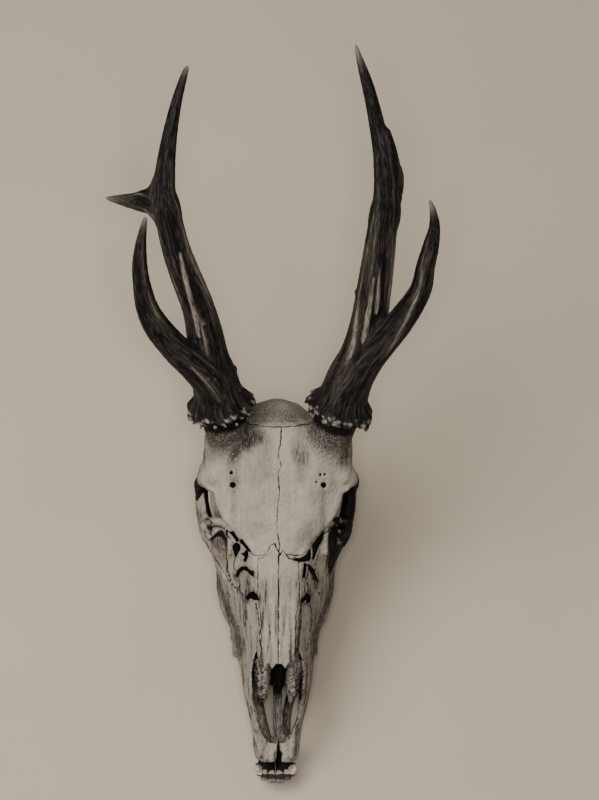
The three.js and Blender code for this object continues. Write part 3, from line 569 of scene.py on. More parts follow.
class Shader:
    """A material's node tree, filled by expressions."""

    def __init__(self, name: str, shine: float = 0.5) -> None:
        """A new material with a principled surface.

        Args:
            name: of the material.
            shine: its specular level.
        """
        self.material = bpy.data.materials.new(name)
        self.material.use_nodes = True
        self.tree = self.material.node_tree
        self.tree.nodes.clear()
        self.surface = self.node("ShaderNodeBsdfPrincipled")
        self.surface.inputs["Specular IOR Level"].default_value = shine
        self.node("ShaderNodeOutputMaterial", {}, Surface=self.surface.outputs["BSDF"])
        self.place = self.node("ShaderNodeTexCoord").outputs["Object"]

    def node(self, kind: str, settings: dict[str, object] | None = None, **inputs: object) -> bpy.types.Node:
        """Adds one node.

        Args:
            kind: the node's type.
            settings: its own settings, set first.
            inputs: values or links of its sockets, by name, or by in0, in1 and so on.

        Returns:
            The node.
        """
        made = self.tree.nodes.new(kind)
        for key, value in (settings or {}).items():
            setattr(made, key, value)
        for key, value in inputs.items():
            socket = made.inputs[int(key[2:])] if key[:2] == "in" and key[2:].isdigit() else made.inputs[key]
            if isinstance(value, Tone):
                self.tree.links.new(value.socket, socket)
            elif isinstance(value, bpy.types.NodeSocket):
                self.tree.links.new(value, socket)
            else:
                socket.default_value = value
        return made

    def math(self, operation: str, *values: Tone | float, clamp: bool = False) -> Tone:
        """A Math node on up to three values."""
        inputs = {f"in{i}": value for i, value in enumerate(values)}
        made = self.node("ShaderNodeMath", {"operation": operation, "use_clamp": clamp}, **inputs)
        return Tone(self, made.outputs[0])

    def stretched(self, scale: Sequence[float], turn: Sequence[float] = (0, 0, 0)) -> bpy.types.NodeSocket:
        """Object coordinates scaled along each axis after a turn."""
        made = self.node("ShaderNodeMapping", {}, Vector=self.place, Scale=scale, Rotation=turn)
        return made.outputs["Vector"]

    def noise(self, scale: float, detail: float = 3.0, rough: float = 0.55, place: object = None) -> Tone:
        """Soft noise of about 0 to 1, with so many blotches in a metre."""
        made = self.node(
            "ShaderNodeTexNoise",
            {},
            Vector=place or self.place,
            Scale=scale,
            Detail=detail,
            Roughness=rough,
        )
        return Tone(self, made.outputs["Fac"])

    def pits(self, scale: float, place: object = None) -> Tone:
        """Distance to the nearest of scattered points, so many in a metre."""
        made = self.node("ShaderNodeTexVoronoi", {}, Vector=place or self.place, Scale=scale)
        return Tone(self, made.outputs["Distance"])

    def mark(self, name: str) -> Tone:
        """The piece's own attribute of that name."""
        made = self.node("ShaderNodeAttribute", {"attribute_name": name})
        return Tone(self, made.outputs["Fac"])

    def course(self) -> bpy.types.NodeSocket:
        """The piece's own places drawn out along its grain."""
        return self.node("ShaderNodeAttribute", {"attribute_name": "course"}).outputs["Vector"]

    def blend(self, share: Tone | float, first: object, second: object) -> bpy.types.NodeSocket:
        """A colour between two, by a share of the second."""
        made = self.node("ShaderNodeMix", {"data_type": "RGBA"}, in0=share, in6=first, in7=second)
        return made.outputs[2]

    def relief(self, height: Tone, depth: float) -> None:
        """Bumps the surface by a height, in metres for a height of 1."""
        bump = self.node("ShaderNodeBump", {}, Height=height, Distance=depth, Strength=1.0)
        self.tree.links.new(bump.outputs["Normal"], self.surface.inputs["Normal"])

    def finish(self, colour: object, roughness: Tone | float) -> bpy.types.Material:
        """Sets colour and roughness and returns the material."""
        for key, value in (("Base Color", colour), ("Roughness", roughness)):
            socket = self.surface.inputs[key]
            if isinstance(value, Tone):
                self.tree.links.new(value.socket, socket)
            elif isinstance(value, bpy.types.NodeSocket):
                self.tree.links.new(value, socket)
            else:
                socket.default_value = value
        return self.material


Colour = tuple[float, float, float, float]


def paint(red: float, green: float, blue: float) -> Colour:
    """A linear colour with full alpha."""
    return (red, green, blue, 1.0)


# ---------------------------------------------------------------------------------- finishes


@dataclass(frozen=True)
class BoneFinish:
    """Old cleaned bone: ivory with grey blotches, fine grain and pores, painted shade on its flanks and
    painted black shade in its hollows.
    """

    light: Colour = paint(0.31, 0.27, 0.218)
    grey: Colour = paint(0.13, 0.111, 0.09)
    # dark brown of the painted shade on the bone
    stained: Colour = paint(0.052, 0.044, 0.036)
    # near black of painted shade in hollows and depths, and of pores and spongy bone
    dirt: Colour = paint(0.003, 0.0026, 0.0024)
    pore_rate: float = 700.0

    def material(self, name: str) -> bpy.types.Material:
        """The finish as a material.

        Args:
            name: of the material.

        Returns:
            The material.
        """
        shader = Shader(name, 0.1)
        hollow, stain, spongy = shader.mark("hollow"), shader.mark("stain"), shader.mark("spongy")
        course = shader.course()
        blotch = shader.noise(60.0, 5.0, 0.65)
        grain = shader.noise(620.0, 6.0, 0.68, course)
        hatch = shader.noise(1500.0, 3.0, 0.55, course)
        cross = shader.noise(1150.0, 3.0, 0.6)
        fleck = shader.noise(1500.0, 3.0, 0.7)
        pore = 1 - shader.pits(self.pore_rate).between(0.05, 0.32)
        sponge = 1 - shader.pits(560.0).between(0.1, 0.5)
        tired = blotch.between(0.42, 0.70) * 0.34 + grain.between(0.45, 0.72) * 0.34
        tired = (tired + cross.between(0.5, 0.72) * 0.34 + fleck.between(0.52, 0.72) * 0.3).clamped()
        colour = shader.blend(tired, self.light, self.grey)
        lines = (
            hatch.between(0.40, 0.60) * 0.6 + grain.between(0.38, 0.64) * 0.4
            + cross.between(0.48, 0.66) * 0.3
        ).clamped()
        # painted shade, broken by the grain's lines
        painted_shade_share = (stain * (0.42 + lines * 0.85)).clamped()
        colour = shader.blend(painted_shade_share, colour, self.stained)
        # painted black shade in hollows and in the depths of sockets and gaps, with dark pores and spongy
        # bone
        dark = hollow.between(0.44, 0.84) + pore * fleck.between(0.5, 0.75) * (0.25 + stain * 0.4)
        dark = (dark + sponge * spongy * 0.85 + (stain.between(0.6, 1.0) * lines) * 0.55).clamped()
        colour = shader.blend(dark, colour, self.dirt)
        height = (
            grain * 0.5 + fleck * 0.16 - pore * fleck.between(0.4, 0.8) * 0.5 + blotch * 0.4
            - sponge * spongy
        )
        shader.relief(height, 0.0005)
        return shader.finish(colour, 0.55 + blotch * 0.25)


@dataclass(frozen=True)
class EnamelFinish:
    """Worn teeth: ivory crowns with brown staining in their grooves, and painted shade towards the roots and
    near the incisors' worn edges.
    """

    crown: Colour = paint(0.36, 0.318, 0.258)
    # dark brown of staining and of painted shade
    stained: Colour = paint(0.022, 0.016, 0.012)

    def material(self, name: str) -> bpy.types.Material:
        """The finish as a material.

        Args:
            name: of the material.

        Returns:
            The material.
        """
        shader = Shader(name)
        streak = shader.noise(420.0, 4.0, 0.6, shader.stretched((2.0, 0.5, 0.5)))
        cloud = shader.noise(160.0, 3.0)
        # painted shade from the mark, with staining in streaks
        dark = (shader.mark("hollow").between(0.40, 0.75) + streak.between(0.5, 0.8) * 0.45).clamped()
        colour = shader.blend(dark, self.crown, self.stained)
        shader.relief(streak * 0.6 + cloud * 0.4, 0.00025)
        shader.surface.inputs["Coat Weight"].default_value = 0.25
        return shader.finish(colour, 0.24 + cloud * 0.25)


@dataclass(frozen=True)
class AntlerFinish:
    """Antler: nearly black in its furrows and in painted shade in its recesses, dark brown between, pale on
    few sharp ridges from rubbing and from a painted highlight.
    """

    # near black of the furrows and of painted shade in recesses
    furrow: Colour = paint(0.0018, 0.0015, 0.0013)
    ridge: Colour = paint(0.062, 0.049, 0.038)
    # pale of rubbing on the tips and ridges, and of painted highlights on the keels
    rubbed: Colour = paint(0.20, 0.165, 0.13)
    # pale of the pearls, and of painted highlights on the burr
    ivory: Colour = paint(0.34, 0.295, 0.24)

    def material(self, name: str) -> bpy.types.Material:
        """The finish as a material.

        Args:
            name: of the material.

        Returns:
            The material.
        """
        shader = Shader(name, 0.09)
        ridge, tip, pearl = shader.mark("ridge"), shader.mark("tip"), shader.mark("pearl")
        course = shader.course()
        fine = shader.noise(640.0, 5.0, 0.66, course)
        thread = shader.noise(1900.0, 3.0, 0.6, course)
        cloud = shader.noise(45.0, 4.0)
        speck = shader.noise(1100.0, 2.0)
        raised = (
            ridge * 0.7 + fine.between(0.40, 0.66) * 0.35 + thread.between(0.42, 0.64) * 0.45
            + cloud * 0.5 - 0.66
        )
        colour = shader.blend(raised.clamped(), self.furrow, self.ridge)
        # painted highlight on the sharpest ridges, chiefly the keels, with rubbing
        high = (ridge.between(0.72, 1.0) * thread.between(0.36, 0.58) * fine.between(0.3, 0.5)).clamped()
        colour = shader.blend(high, colour, self.rubbed)
        # pale pearls, and painted highlights on the burr's beads and rim
        colour = shader.blend((pearl * (0.35 + speck * 0.9)).clamped(), colour, self.ivory)
        colour = shader.blend((tip * (0.1 + fine * 0.6 + thread * 0.5)).clamped(), colour, self.rubbed)
        # painted shade: recesses darkened to near black
        colour = shader.blend(shader.mark("hollow").between(0.34, 0.62), colour, self.furrow)
        shader.relief(fine * 0.6 + thread * 0.35 + speck * 0.1, 0.0007)
        return shader.finish(colour, (0.56 - tip * 0.2 - high * 0.2 + fine * 0.14).clamped())


@dataclass(frozen=True)
class FloorFinish:
    """Plain warm grey paper on the table."""

    light: Colour = paint(0.40, 0.338, 0.262)
    dark: Colour = paint(0.33, 0.278, 0.214)

    def material(self, name: str) -> bpy.types.Material:
        """The finish as a material.

        Args:
            name: of the material.

        Returns:
            The material.
        """
        shader = Shader(name, 0.1)
        cloud = shader.noise(9.0, 4.0)
        tooth = shader.noise(1500.0, 2.0)
        colour = shader.blend((cloud * 0.6 + tooth * 0.5 - 0.1).clamped(), self.light, self.dark)
        shader.relief(tooth, 0.0002)
        return shader.finish(colour, 0.9)


# ------------------------------------------------------------------------------ making pieces


class Workshop:
    """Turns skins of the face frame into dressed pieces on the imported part."""

    def __init__(self) -> None:
        """Reads the face frame off the CAD part and prepares the finishes."""
        self.place = FaceFrame.from_cad(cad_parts["nasal_right"])
        self.bone = BoneFinish().material("old_bone")
        self.enamel = EnamelFinish().material("worn_enamel")
        self.antler = AntlerFinish().material("antler")

    def piece(
        self,
        name: str,
        points: Array,
        faces: Array,
        material: bpy.types.Material,
        marks: dict[str, Array],
        nodes: Sequence[str],
        slot: str,
    ) -> bpy.types.Object:
        """Makes one piece and ties it to the CAD part.

        Args:
            name: of the piece.
            points: its points in the face frame, in mm.
            faces: its quads.
            material: its finish.
            marks: one number, or one place in mm, per point for each attribute of the finish.
            nodes: the CAD nodes that it replaces.
            slot: the record's material slot; not used.

        Returns:
            The piece.
        """
        mesh = bpy.data.meshes.new(name)
        mesh.vertices.add(len(points))
        mesh.vertices.foreach_set("co", self.place.place(points).astype(np.float32).ravel())
        mesh.loops.add(faces.size)
        mesh.loops.foreach_set("vertex_index", faces.astype(np.int32).ravel())
        mesh.polygons.add(len(faces))
        width = faces.shape[1]
        mesh.polygons.foreach_set("loop_start", np.arange(0, faces.size, width, dtype=np.int32))
        mesh.polygons.foreach_set("use_smooth", np.ones(len(faces), bool))
        mesh.update(calc_edges=True)
        mesh.validate()
        for key, values in marks.items():
            if values.ndim == 2:
                layer = mesh.attributes.new(key, "FLOAT_VECTOR", "POINT")
                layer.data.foreach_set("vector", (values * MM).astype(np.float32).ravel())
            else:
                layer = mesh.attributes.new(key, "FLOAT", "POINT")
                layer.data.foreach_set("value", np.clip(values, 0, 1).astype(np.float32))
        mesh.materials.append(material)
        made = bpy.data.objects.new(name, mesh)
        bpy.context.scene.collection.objects.link(made)
        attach(made, BODY)
        if nodes:
            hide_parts(*nodes)
        LOG.info("%s: %d points, %d quads", name, len(points), len(faces))
        return made


def both(*shapes: Limb | Ball) -> list[Limb | Ball]:
    """The shapes of the right side and their mirror images."""
    return [*shapes, *(shape.mirrored() for shape in shapes)]


# -------------------------------------------------------------------------------- the cranium


@dataclass
class Cranium:
    """Skull without the lower jaw, worked out whole and then parted along its sutures."""

    # v, crown w, shoulder x w, widest x w, tooth socket x w, and the middle of the floor w
    plan: Rows = (
        (-115, -25.5, 6, -25.5, 8, -27, 6, -29, -29.5),
        (-112.5, -23.5, 8, -23.5, 11.3, -26, 8.5, -30, -31),
        (-107, -21.5, 9, -21, 12.4, -25, 10, -31.5, -32),
        (-100, -19, 9, -18, 13.2, -24, 11.5, -32, -33),
        (-91, -13.5, 9, -13, 14.6, -21.5, 12.5, -33, -34.5),
        (-79, -6, 9, -7.5, 17.5, -20, 14, -35, -36),
        (-69, -1.5, 9, -4, 19.1, -20, 16, -38, -38),
        (-59, 0, 9.5, -2.5, 20.3, -22, 18.5, -41.5, -39),
        (-50, 0.4, 10, -2.2, 21.8, -25, 20.5, -44.5, -41),
        (-44, 0.5, 10.3, -2.1, 23.9, -28, 22.5, -46, -43),
        (-37.5, 0.5, 10.8, -2, 27.6, -32, 25, -47.5, -44),
        (-28.5, 0.4, 11.6, -2, 30.4, -35, 27.5, -50, -46),
        (-21, 0.1, 12.4, -2.4, 31.8, -36, 28.5, -52, -47.5),
        (-8, -0.4, 14, -3, 32, -31, 28, -55.5, -51),
        (0, -0.4, 16, -3.4, 34.4, -26, 24, -56, -53),
        (7, 0.2, 20, -4.5, 35.5, -24, 18, -54, -55),
        (12, 0.9, 23, -5.5, 34, -24, 15, -52, -56),
        (17, 1.4, 24, -6.5, 25, -21, 13, -50, -57),
        (27, 2.8, 25, -8, 23.4, -22, 12.5, -50, -59),
        (38, 4.5, 26, -8, 25.6, -28, 17, -54, -61),
        (50, 6.2, 26, -6, 31, -33, 23, -57, -64),
        (60, 7, 24, -5, 30.5, -36, 25, -58, -66),
        (66, 6, 18, -3.5, 26, -34, 20, -57, -65),
        (71, 2.5, 12.5, -3, 18.5, -26, 15, -48, -57),
        (76, -4.5, 9, -8, 14.6, -23, 11, -36, -42),
        (79.5, -10, 6, -13, 9.8, -21, 7, -28, -31),
        (81, -16, 1.5, -17, 3, -20.5, 2, -24, -25),
    )
    # roof of the eyes: v, half width, w over the middle, w at the edge, thickness
    brow_plan: Rows = (
        (-1.5, 12.5, -0.6, -3, 4),
        (3, 17.6, -0.4, -4, 4),
        (8, 22.4, 0.2, -4.6, 4),
        (13, 27, 0.8, -4.6, 4),
        (18, 30.8, 1.5, -4.4, 4),
        (24, 33.4, 2.4, -4, 4),
        (30.4, 35.4, 3.3, -4.4, 4),
        (32.6, 38.4, 3.6, -5, 5),
        (36.5, 40.6, 4.3, -6.5, 6),
        (39.5, 41.6, 4.8, -6.5, 8),
        (45, 39.4, 5.6, -5, 9),
        (52, 38.8, 6.4, -3.5, 10),
        (60, 37, 7, -3.5, 10),
        (66, 28, 5.5, -4, 9),
        (69, 18, 3.5, -4, 6),
    )
    # opening of the nose: v, half width, w of its floor
    nose_plan: Rows = (
        (-104.5, 3.6, -29),
        (-99, 7.9, -31),
        (-90, 11.4, -31.5),
        (-84, 12.6, -32),
        (-78, 13.3, -32),
        (-66, 13.6, -33),
        (-56, 12.4, -33),
        (-50, 8, -28),
    )
    arch: Limb = Limb(
        (
            (23, -22, -40, 3.4),
            (28.2, -8, -36.5, 4.0),
            (32.3, 1, -34, 4.0),
            (36.9, 9, -33, 4.1),
            (38.6, 18, -33, 4.0),
            (40.1, 28, -33, 3.6),
            (39.5, 39, -33, 3.2),
            (35.5, 49, -33, 3.4),
            (26, 57, -34, 4),
        ),
        flat=1.6,
    )
    postorbital: Limb = Limb(
        (
            (35, 41, -7, 6), (39.6, 38.8, -11, 4.2), (41.6, 36.6, -18, 2.9), (41.6, 35, -26, 3.0),
            (40.4, 34, -33, 3)
        )
    )
    orbit: Ball = Ball((41, 24.4, -14), (23, 14.2, 17))
    # rim in front of the eye, and the pit of the tear gland below it: x, v, w and radius
    rim: Rows = (
        (26.3, -2, -12, 0.9),
        (25.4, 3.4, -10.2, 1.8),
        (25.2, 7.5, -9.2, 2.1),
        (26.6, 11.8, -9.4, 2.2),
        (29.4, 15, -12.5, 2.2),
        (33.6, 15.7, -19, 2.3),
        (36.6, 14.8, -26, 2.6),
    )
    tear_pit: Rows = (
        (33.4, 4.5, -14, 3.4), (32.2, -1, -16, 3.3), (30.4, -7, -19, 2.4), (28.4, -13, -23, 1.2)
    )
    # midline suture: v, x
    midline: Rows = (
        (-130, 0.3), (-62, -0.2), (0, 0.2), (2.1, 0.7), (9.7, -0.6), (19.9, -0.9), (31.7, 0.3),
        (42.4, -0.4), (45.3, 1.2), (52, -0.4), (57.5, 0.6), (68, 1.3), (90, 1.3),
    )
    # edge of the maxillae and nasal tips over the open nose, seen from the front
    nose_roof: Rows = (
        (-16.6, -60.6), (-13, -58.6), (-9.3, -56.2), (9.3, -56.8), (12, -58.4), (14.6, -61.8),
        (14.6, -82), (-14.6, -82)
    )
    # painted black shade in the upper corner of the eye socket, behind the bar, on the left side
    socket_corner: Rows = (
        (-46, 26.5), (-42.6, 26.5), (-40.6, 29.5), (-38.2, 33), (-37.8, 36), (-39.2, 39.5), (-46, 39.5)
    )
    # shadow under the rim, the hatched pit below it, and the deep shade on the right side
    under_rim: Rows = (
        (38, 5.4), (35.4, 7.4), (33.2, 9.7), (31.4, 11.2), (29.8, 11.4), (28.4, 10), (27.4, 7), (27, 2),
        (27.3, -9), (27.9, 1.5), (28.8, 5.2), (30.4, 6.8), (32.4, 6.8), (34.4, 5.4),
    )
    fossa: Rows = ((37.6, 6.4), (27, 8), (26.4, -2), (26.8, -14), (29, -11), (33, -1))
    lee: Rows = (
        (27.2, 12.6), (31, 15), (42, 17), (42, 6), (38, 0.5), (34, -4), (32, -9), (29, -17), (27, -9),
        (27.4, 0)
    )
    spurs: Sequence[Ball] = (
        Ball((33.9, 10.1, -19.4), (1.1, 0.8, 1.0)),
        Ball((33.6, 6.8, -18.4), (1.1, 0.8, 1.0)),
        Ball((34.1, 3.8, -18.8), (1.0, 0.8, 1.0)),
    )
    # fine creases and open seams of the face, painted as dark lines of shade: x and v along each
    creases: Sequence[Rows] = (
        ((-38.4, 16.4), (-36.6, 16.2), (-35.4, 15), (-36, 13.6), (-37.8, 13), (-36.2, 12.2), (-34, 12.4)),
        ((-39.8, 10.6), (-38, 9.8), (-36, 8.4)),
        (
            (-26.4, -4), (-27.4, -9.6), (-25.9, -13), (-24.8, -17), (-23.2, -19.6), (-21.6, -20.4),
            (-21.8, -22.4), (-23.6, -22.6)
        ),
        ((-31.6, -10.4), (-29.6, -15), (-27.4, -20), (-25.8, -25)),
        ((-22.8, -4), (-23.6, -8.4), (-22, -12.6)),
        ((-19.8, -16.4), (-20.6, -21), (-18.4, -24)),
        ((-29.6, 14), (-27, 8.6), (-24.6, 4.6)),
        ((-12.4, -27), (-11.4, -32), (-10.4, -40), (-9.8, -52)),
        ((16.6, -9.4), (15.8, -16), (16.4, -22)),
        ((21.4, -3), (20.4, -9), (19.6, -12)),
        ((18.6, -14), (20.8, -19), (22.8, -24)),
        ((12.4, -29), (11.8, -40), (10.2, -54)),
        ((17.6, -29), (18.4, -40), (15.8, -54)),
    )
    # line of the facial crest, along which a painted shadow runs
    crease: Rows = ((-62, 19), (-54, 20.2), (-44, 21.6), (-35, 25), (-25, 29.2), (-12, 33))  # v, x
    # painted shade on the forehead: x, v, half width, half height and share
    shades: Rows = (
        (12, 55, 8, 24, 0.95),
        (-17, 60, 17, 12, 0.85),
        (-24.5, 45, 6, 19, 0.85),
        (-9, 48, 8, 24, 0.4),
        (26, 62, 12, 12, 0.7),
        (35.5, 50, 6, 18, 0.8),
        (-37, 52, 5, 14, 0.5),
        (-24, 22, 3, 16, 0.4),
        (24, 18, 3, 20, 0.5),
        (18, 8, 14, 10, 0.5),
        (-14, 12, 14, 8, 0.3),
        (-39.5, 22, 6, 14, 0.9),
        (-36.5, 9, 5, 6, 0.4),
    )
    septum_x: float = 0.8
    low: Sequence[float] = (-47, -118, -84)
    high: Sequence[float] = (47, 85, 27)
    seats: dict[Side, Limb] = field(default_factory=dict)

    def body(self, grid: Grid) -> None:
        """Fills the grid with the main body.

        Each cross section is a closed curve through points set by the plan, written as a
        radius over the angle about its middle, and the distance is how far a point is outside
        that radius, times the cosine of the curve's lean.

        Args:
            grid: the grid to fill.
        """
        xs, vs, ws = grid.axes(grid.whole())
        rows = track(self.plan, vs.ravel())
        top, x1, w1, x2, w2, x3, w3, floor = rows.T
        half_x = np.stack(
            [
                0 * top, 0.62 * x1, x1, (x1 + x2) / 2 + 0.12 * (x2 - x1), x2, 0.35 * x2 + 0.65 * x3, x3,
                x3 / 2, 0 * top
            ],
            axis=1,
        )
        half_w = np.stack(
            [
                top, 0.7 * top + 0.3 * w1, w1, (w1 + w2) / 2, w2, (w2 + w3) / 2, w3, (w3 + floor) / 2,
                floor
            ], axis=1
        )
        ring_x = np.concatenate([half_x, -half_x[:, 7:0:-1]], axis=1)
        ring_w = np.concatenate([half_w, half_w[:, 7:0:-1]], axis=1)
        ring = curve_through(np.stack([ring_x, ring_w], axis=2), 160, closed=True)
        middle = (top + floor) / 2
        angle = np.arctan2(ring[:, :, 0], ring[:, :, 1] - middle[:, None])
        radius = np.hypot(ring[:, :, 0], ring[:, :, 1] - middle[:, None])
        even = np.linspace(-math.pi, math.pi, 361)
        for i, v in enumerate(vs.ravel()):
            if not self.plan[0][0] - 1 < v < self.plan[-1][0] + 1:
                continue
            order = np.argsort(angle[i])
            r = np.interp(even, angle[i][order], radius[i][order], period=math.tau)
            lean = 1 / np.sqrt(1 + (np.gradient(r, even) / r) ** 2)
            dx, dw = np.broadcast_arrays(xs[:, 0, :], ws[:, 0, :] - middle[i])
            here = np.arctan2(dx, dw)
            away = np.hypot(dx, dw) - np.interp(here, even, r)
            away *= np.interp(here, even, lean)
            ends = max(self.plan[0][0] - v, v - self.plan[-1][0])
            grid.value[:, i, :] = np.maximum(away, ends)

    def brow(self, grid: Grid) -> None:
        """Joins the roof of the eyes: a plate between two heights, inside its half width.

        The upper face falls from the middle to the edge, and the lower face lies below it by
        the plan's thickness.

        Args:
            grid: the grid to join it to.
        """
        xs, vs, ws = grid.axes(grid.whole())
        half, mid, edge, thick = (a[None, :, None] for a in track(self.brow_plan, vs.ravel()).T)
        share = np.clip(np.abs(xs) / half, 0, 1)
        top = mid + (edge - mid) * smooth_step(share, 0.35, 1.05) + 0.8 * np.sin(math.pi * share) ** 2
        bottom = edge - thick - 1.5 * (1 - share**2)
        rim = (np.abs(xs) - half) * 0.8
        ends = np.maximum(self.brow_plan[0][0] - vs, vs - self.brow_plan[-1][0])
        plate = -smooth_min(-(ws - top), ws - bottom, 2.0)
        plate = -smooth_min(-plate, -rim, 3.0)
        plate = np.maximum(plate, ends)
        grid.value[:] = smooth_min(grid.value, plate.astype(np.float32), 2.5)

    def nose(self, grid: Grid) -> None:
        """Cuts the opening of the nose: a channel with a rounded floor, roofed by the nasals."""
        xs, vs, ws = grid.axes(grid.whole())
        half, floor = (a[None, :, None] for a in track(self.nose_plan, vs.ravel()).T)
        side = np.abs(xs) - half
        roof = np.where(vs > -64, ws + 5, ws - 30)
        channel = -smooth_min(-side, ws - floor, 5.0)
        channel = np.maximum(channel, roof)
        channel = np.maximum(channel, np.maximum(self.nose_plan[0][0] - vs, vs - self.nose_plan[-1][0]))
        grid.value[:] = -smooth_min(-grid.value, channel.astype(np.float32), 0.8)

    def back(self, grid: Grid) -> None:
        """Joins the base of the skull: condyles, processes, bullae, ear tubes and crest."""
        grid.add(
            *both(
                Ball((10.6, 63, -61), (7.4, 8.4, 8)),
                Limb(
                    ((22, 57, -50, 6), (21, 54, -60, 5), (19.5, 50, -71, 3), (18.4, 46.5, -78, 1.3)),
                    flat=1.3
                ),
                Ball((15, 40, -58), (6.5, 9, 7)),
                Limb(((20, 46, -52, 4), (27, 47, -50, 3.6), (31.5, 48, -49, 3))),
                Limb(
                    ((10.5, -3, -52, 2.6), (9.5, 10, -57, 2.4), (8.6, 20, -62, 2.2), (8, 27, -62, 1.4)),
                    flat=2.4
                ),
            ),
            blend=3.0,
        )
        grid.add(
            Limb(
                (
                    (-25, 62, -36, 3),
                    (-16, 71.5, -27, 3),
                    (-7, 77, -22, 3),
                    (0, 78, -21, 3.2),
                    (7, 77, -22, 3),
                    (16, 71.5, -27, 3),
                    (25, 62, -36, 3),
                )
            ),
            blend=4.0,
        )
        grid.cut(Ball((0, 68, -52), (7, 10, 7)), blend=1.5)
        grid.cut(*both(Ball((31.5, 48, -49), (2.4, 2.2, 2.2)), Ball((26, 57, -44), (3, 5, 3))), blend=1.0)

    def face(self, grid: Grid) -> None:
        """Raises the rim in front of the eye and the ridge below it, and cuts the tear pit."""
        grid.add(
            *both(
                Limb(self.rim),
                Limb(
                    (
                        (40.2, 13, -27, 1.4), (37.6, 8.6, -21.5, 1.5), (36, 6.6, -18.4, 1.2),
                        (38, 10.6, -20.5, 1.0)
                    )
                ),
            ),
            blend=2.0,
        )
        grid.cut(
            *both(
                Limb(self.tear_pit),
                Limb(((22.6, 3, -4.5, 1.6), (22.0, -6, -5.0, 2.2), (21.4, -16, -8.5, 1.6))),
            ),
            blend=2.2,
        )
        grid.cut(Ball((-37.4, 30.4, -5), (2.4, 1.7, 6)), blend=0.8)
        grid.add(*self.spurs, blend=0.8)
        grid.cut(
            *both(
                Ball((15, 53, 13.0), (8, 15, 7.5)),
                Ball((26, 24, 10.5), (5, 13, 6)),
                Limb(((17.4, -30, 0.5, 2.6), (17.8, -42, 0.0, 3.2), (18.4, -54, -2.4, 2.6))),
            ),
            blend=4.0,
        )

    def vacuities(self) -> list[Prism]:
        """The gaps between nasal, frontal, lacrimal and maxilla, as the two sides have them."""
        left = (
            (
                (-24.2, 2.2), (-23.4, 3.8), (-22, 4.2), (-20.6, 3.0), (-20.4, 0.8), (-21.8, -1.6),
                (-22.8, -3.6), (-23.4, -1.0)
            ),
            (
                (-19.6, -1.6), (-18.2, -1.4), (-17.4, 0.2), (-16.4, -0.4), (-16.4, -3), (-17.6, -5.9),
                (-18.4, -5.4), (-17.8, -3.2)
            ),
            ((-25.5, 9.8), (-24.2, 10.4), (-21.1, 5.8), (-22.2, 5.0)),
            ((-20.7, 5.7), (-19.6, 6.1), (-16.6, 2.2), (-14.8, -0.4), (-16.8, 0.6)),
            (
                (-22.3, -13.9), (-21.5, -10.8), (-19.5, -8.8), (-17, -8.7), (-15.2, -10.5),
                (-13.2, -11.2), (-13.4, -13.9), (-15, -12.7), (-16.7, -10.7), (-18.6, -10.3),
                (-20.4, -12), (-21.3, -14.4),
            ),
            (
                (-17.4, -25.2), (-15.6, -23.0), (-13.4, -21.8), (-11.4, -24), (-10.4, -26.4),
                (-13.4, -26.1), (-15.2, -25.2), (-16.4, -26.8)
            ),
        )
        right = (
            (
                (8.6, -3.8), (11.6, -4.2), (15, -2.2), (17, 1), (17.6, -2), (17.2, -5.2), (15.2, -5.4),
                (11.6, -5.9), (8.6, -4.9)
            ),
            (
                (18.4, 2.8), (20.4, 5.6), (24.6, 10.6), (23.6, 5.6), (21.4, 1), (19.4, -4.6),
                (18.7, -4.2), (18.9, -0.6)
            ),
            ((13.9, -6.6), (15.1, -7.2), (14.9, -10), (14.1, -14.4), (13, -14), (13.7, -10)),
            ((15.6, -7.4), (17.2, -8), (19.6, -10.6), (22.2, -17.2), (20.6, -16), (17.6, -11.6)),
            (
                (11.8, -27.2), (13.8, -25), (15.2, -22.8), (17, -24), (17.6, -27.4), (16.1, -28.3),
                (14.8, -26.2), (13.2, -27.8)
            ),
        )
        return [Prism(outline, -17, 20, ripple=0.16) for outline in (*left, *right)]

    def small_holes(self, grid: Grid) -> None:
        """Cuts the foramina, the midline slot of the nose and the palate's fissures."""
        grid.cut(
            Limb(((-24.8, 35.6, 4, 1.5), (-24.6, 35.2, -5, 1.5))),
            Limb(((-25.6, 42.4, 5, 0.9), (-25.4, 41.8, 0, 0.9))),
            Limb(((24.2, 35.6, 4, 1.5), (24, 35.2, -5, 1.5))),
            Limb(((22.2, 41.2, 5, 0.6), (22.2, 40.6, 0, 0.6))),
            Limb(((24.6, 41.4, 5, 0.6), (24.6, 40.8, 0, 0.6))),
            Limb(((20.2, 37.2, 5, 0.5), (20.2, 36.8, 1, 0.5))),
            *both(Limb(((24, -43, -36, 2.0), (18, -38, -36, 2.0)))),
            blend=0.7,
        )
        grid.cut(
            *both(Limb(((24.4, 33, 4.4, 1.5), (23.6, 26, 3.4, 1.2), (23.2, 17, 2.6, 0.8)))),
            blend=2.0,
        )
        grid.cut(
            Prism(
                (
                    (-1.2, -74), (-12.9, -74), (-12.8, -80), (-12.3, -84), (-11.2, -90.8), (-9.7, -96.1),
                    (-7.2, -101), (-5, -103), (-2.8, -102.4), (-1.5, -100),
                ),
                -60,
                -27,
            ),
            Prism(
                (
                    (3.2, -74), (12.9, -74), (12.4, -84), (11.2, -94), (9.9, -99.5), (8.2, -101.8),
                    (6, -102.2), (4.2, -100)
                ),
                -60, -27
            ),
            Prism(
                (
                    (0.5, -103), (1.6, -103), (1.7, -106), (2.0, -108.4), (3.2, -110.5), (2.6, -114),
                    (2.9, -120), (-1.2, -120), (-0.9, -114), (-1.5, -110.5), (0.2, -108.4), (0.4, -106)
                ),
                -60, 0
            ),
            Limb(((1.0, -79, -31.6, 0.8), (1.0, -92, -31.2, 0.8), (1.0, -105, -28.6, 0.8))),
            blend=0.6,
        )

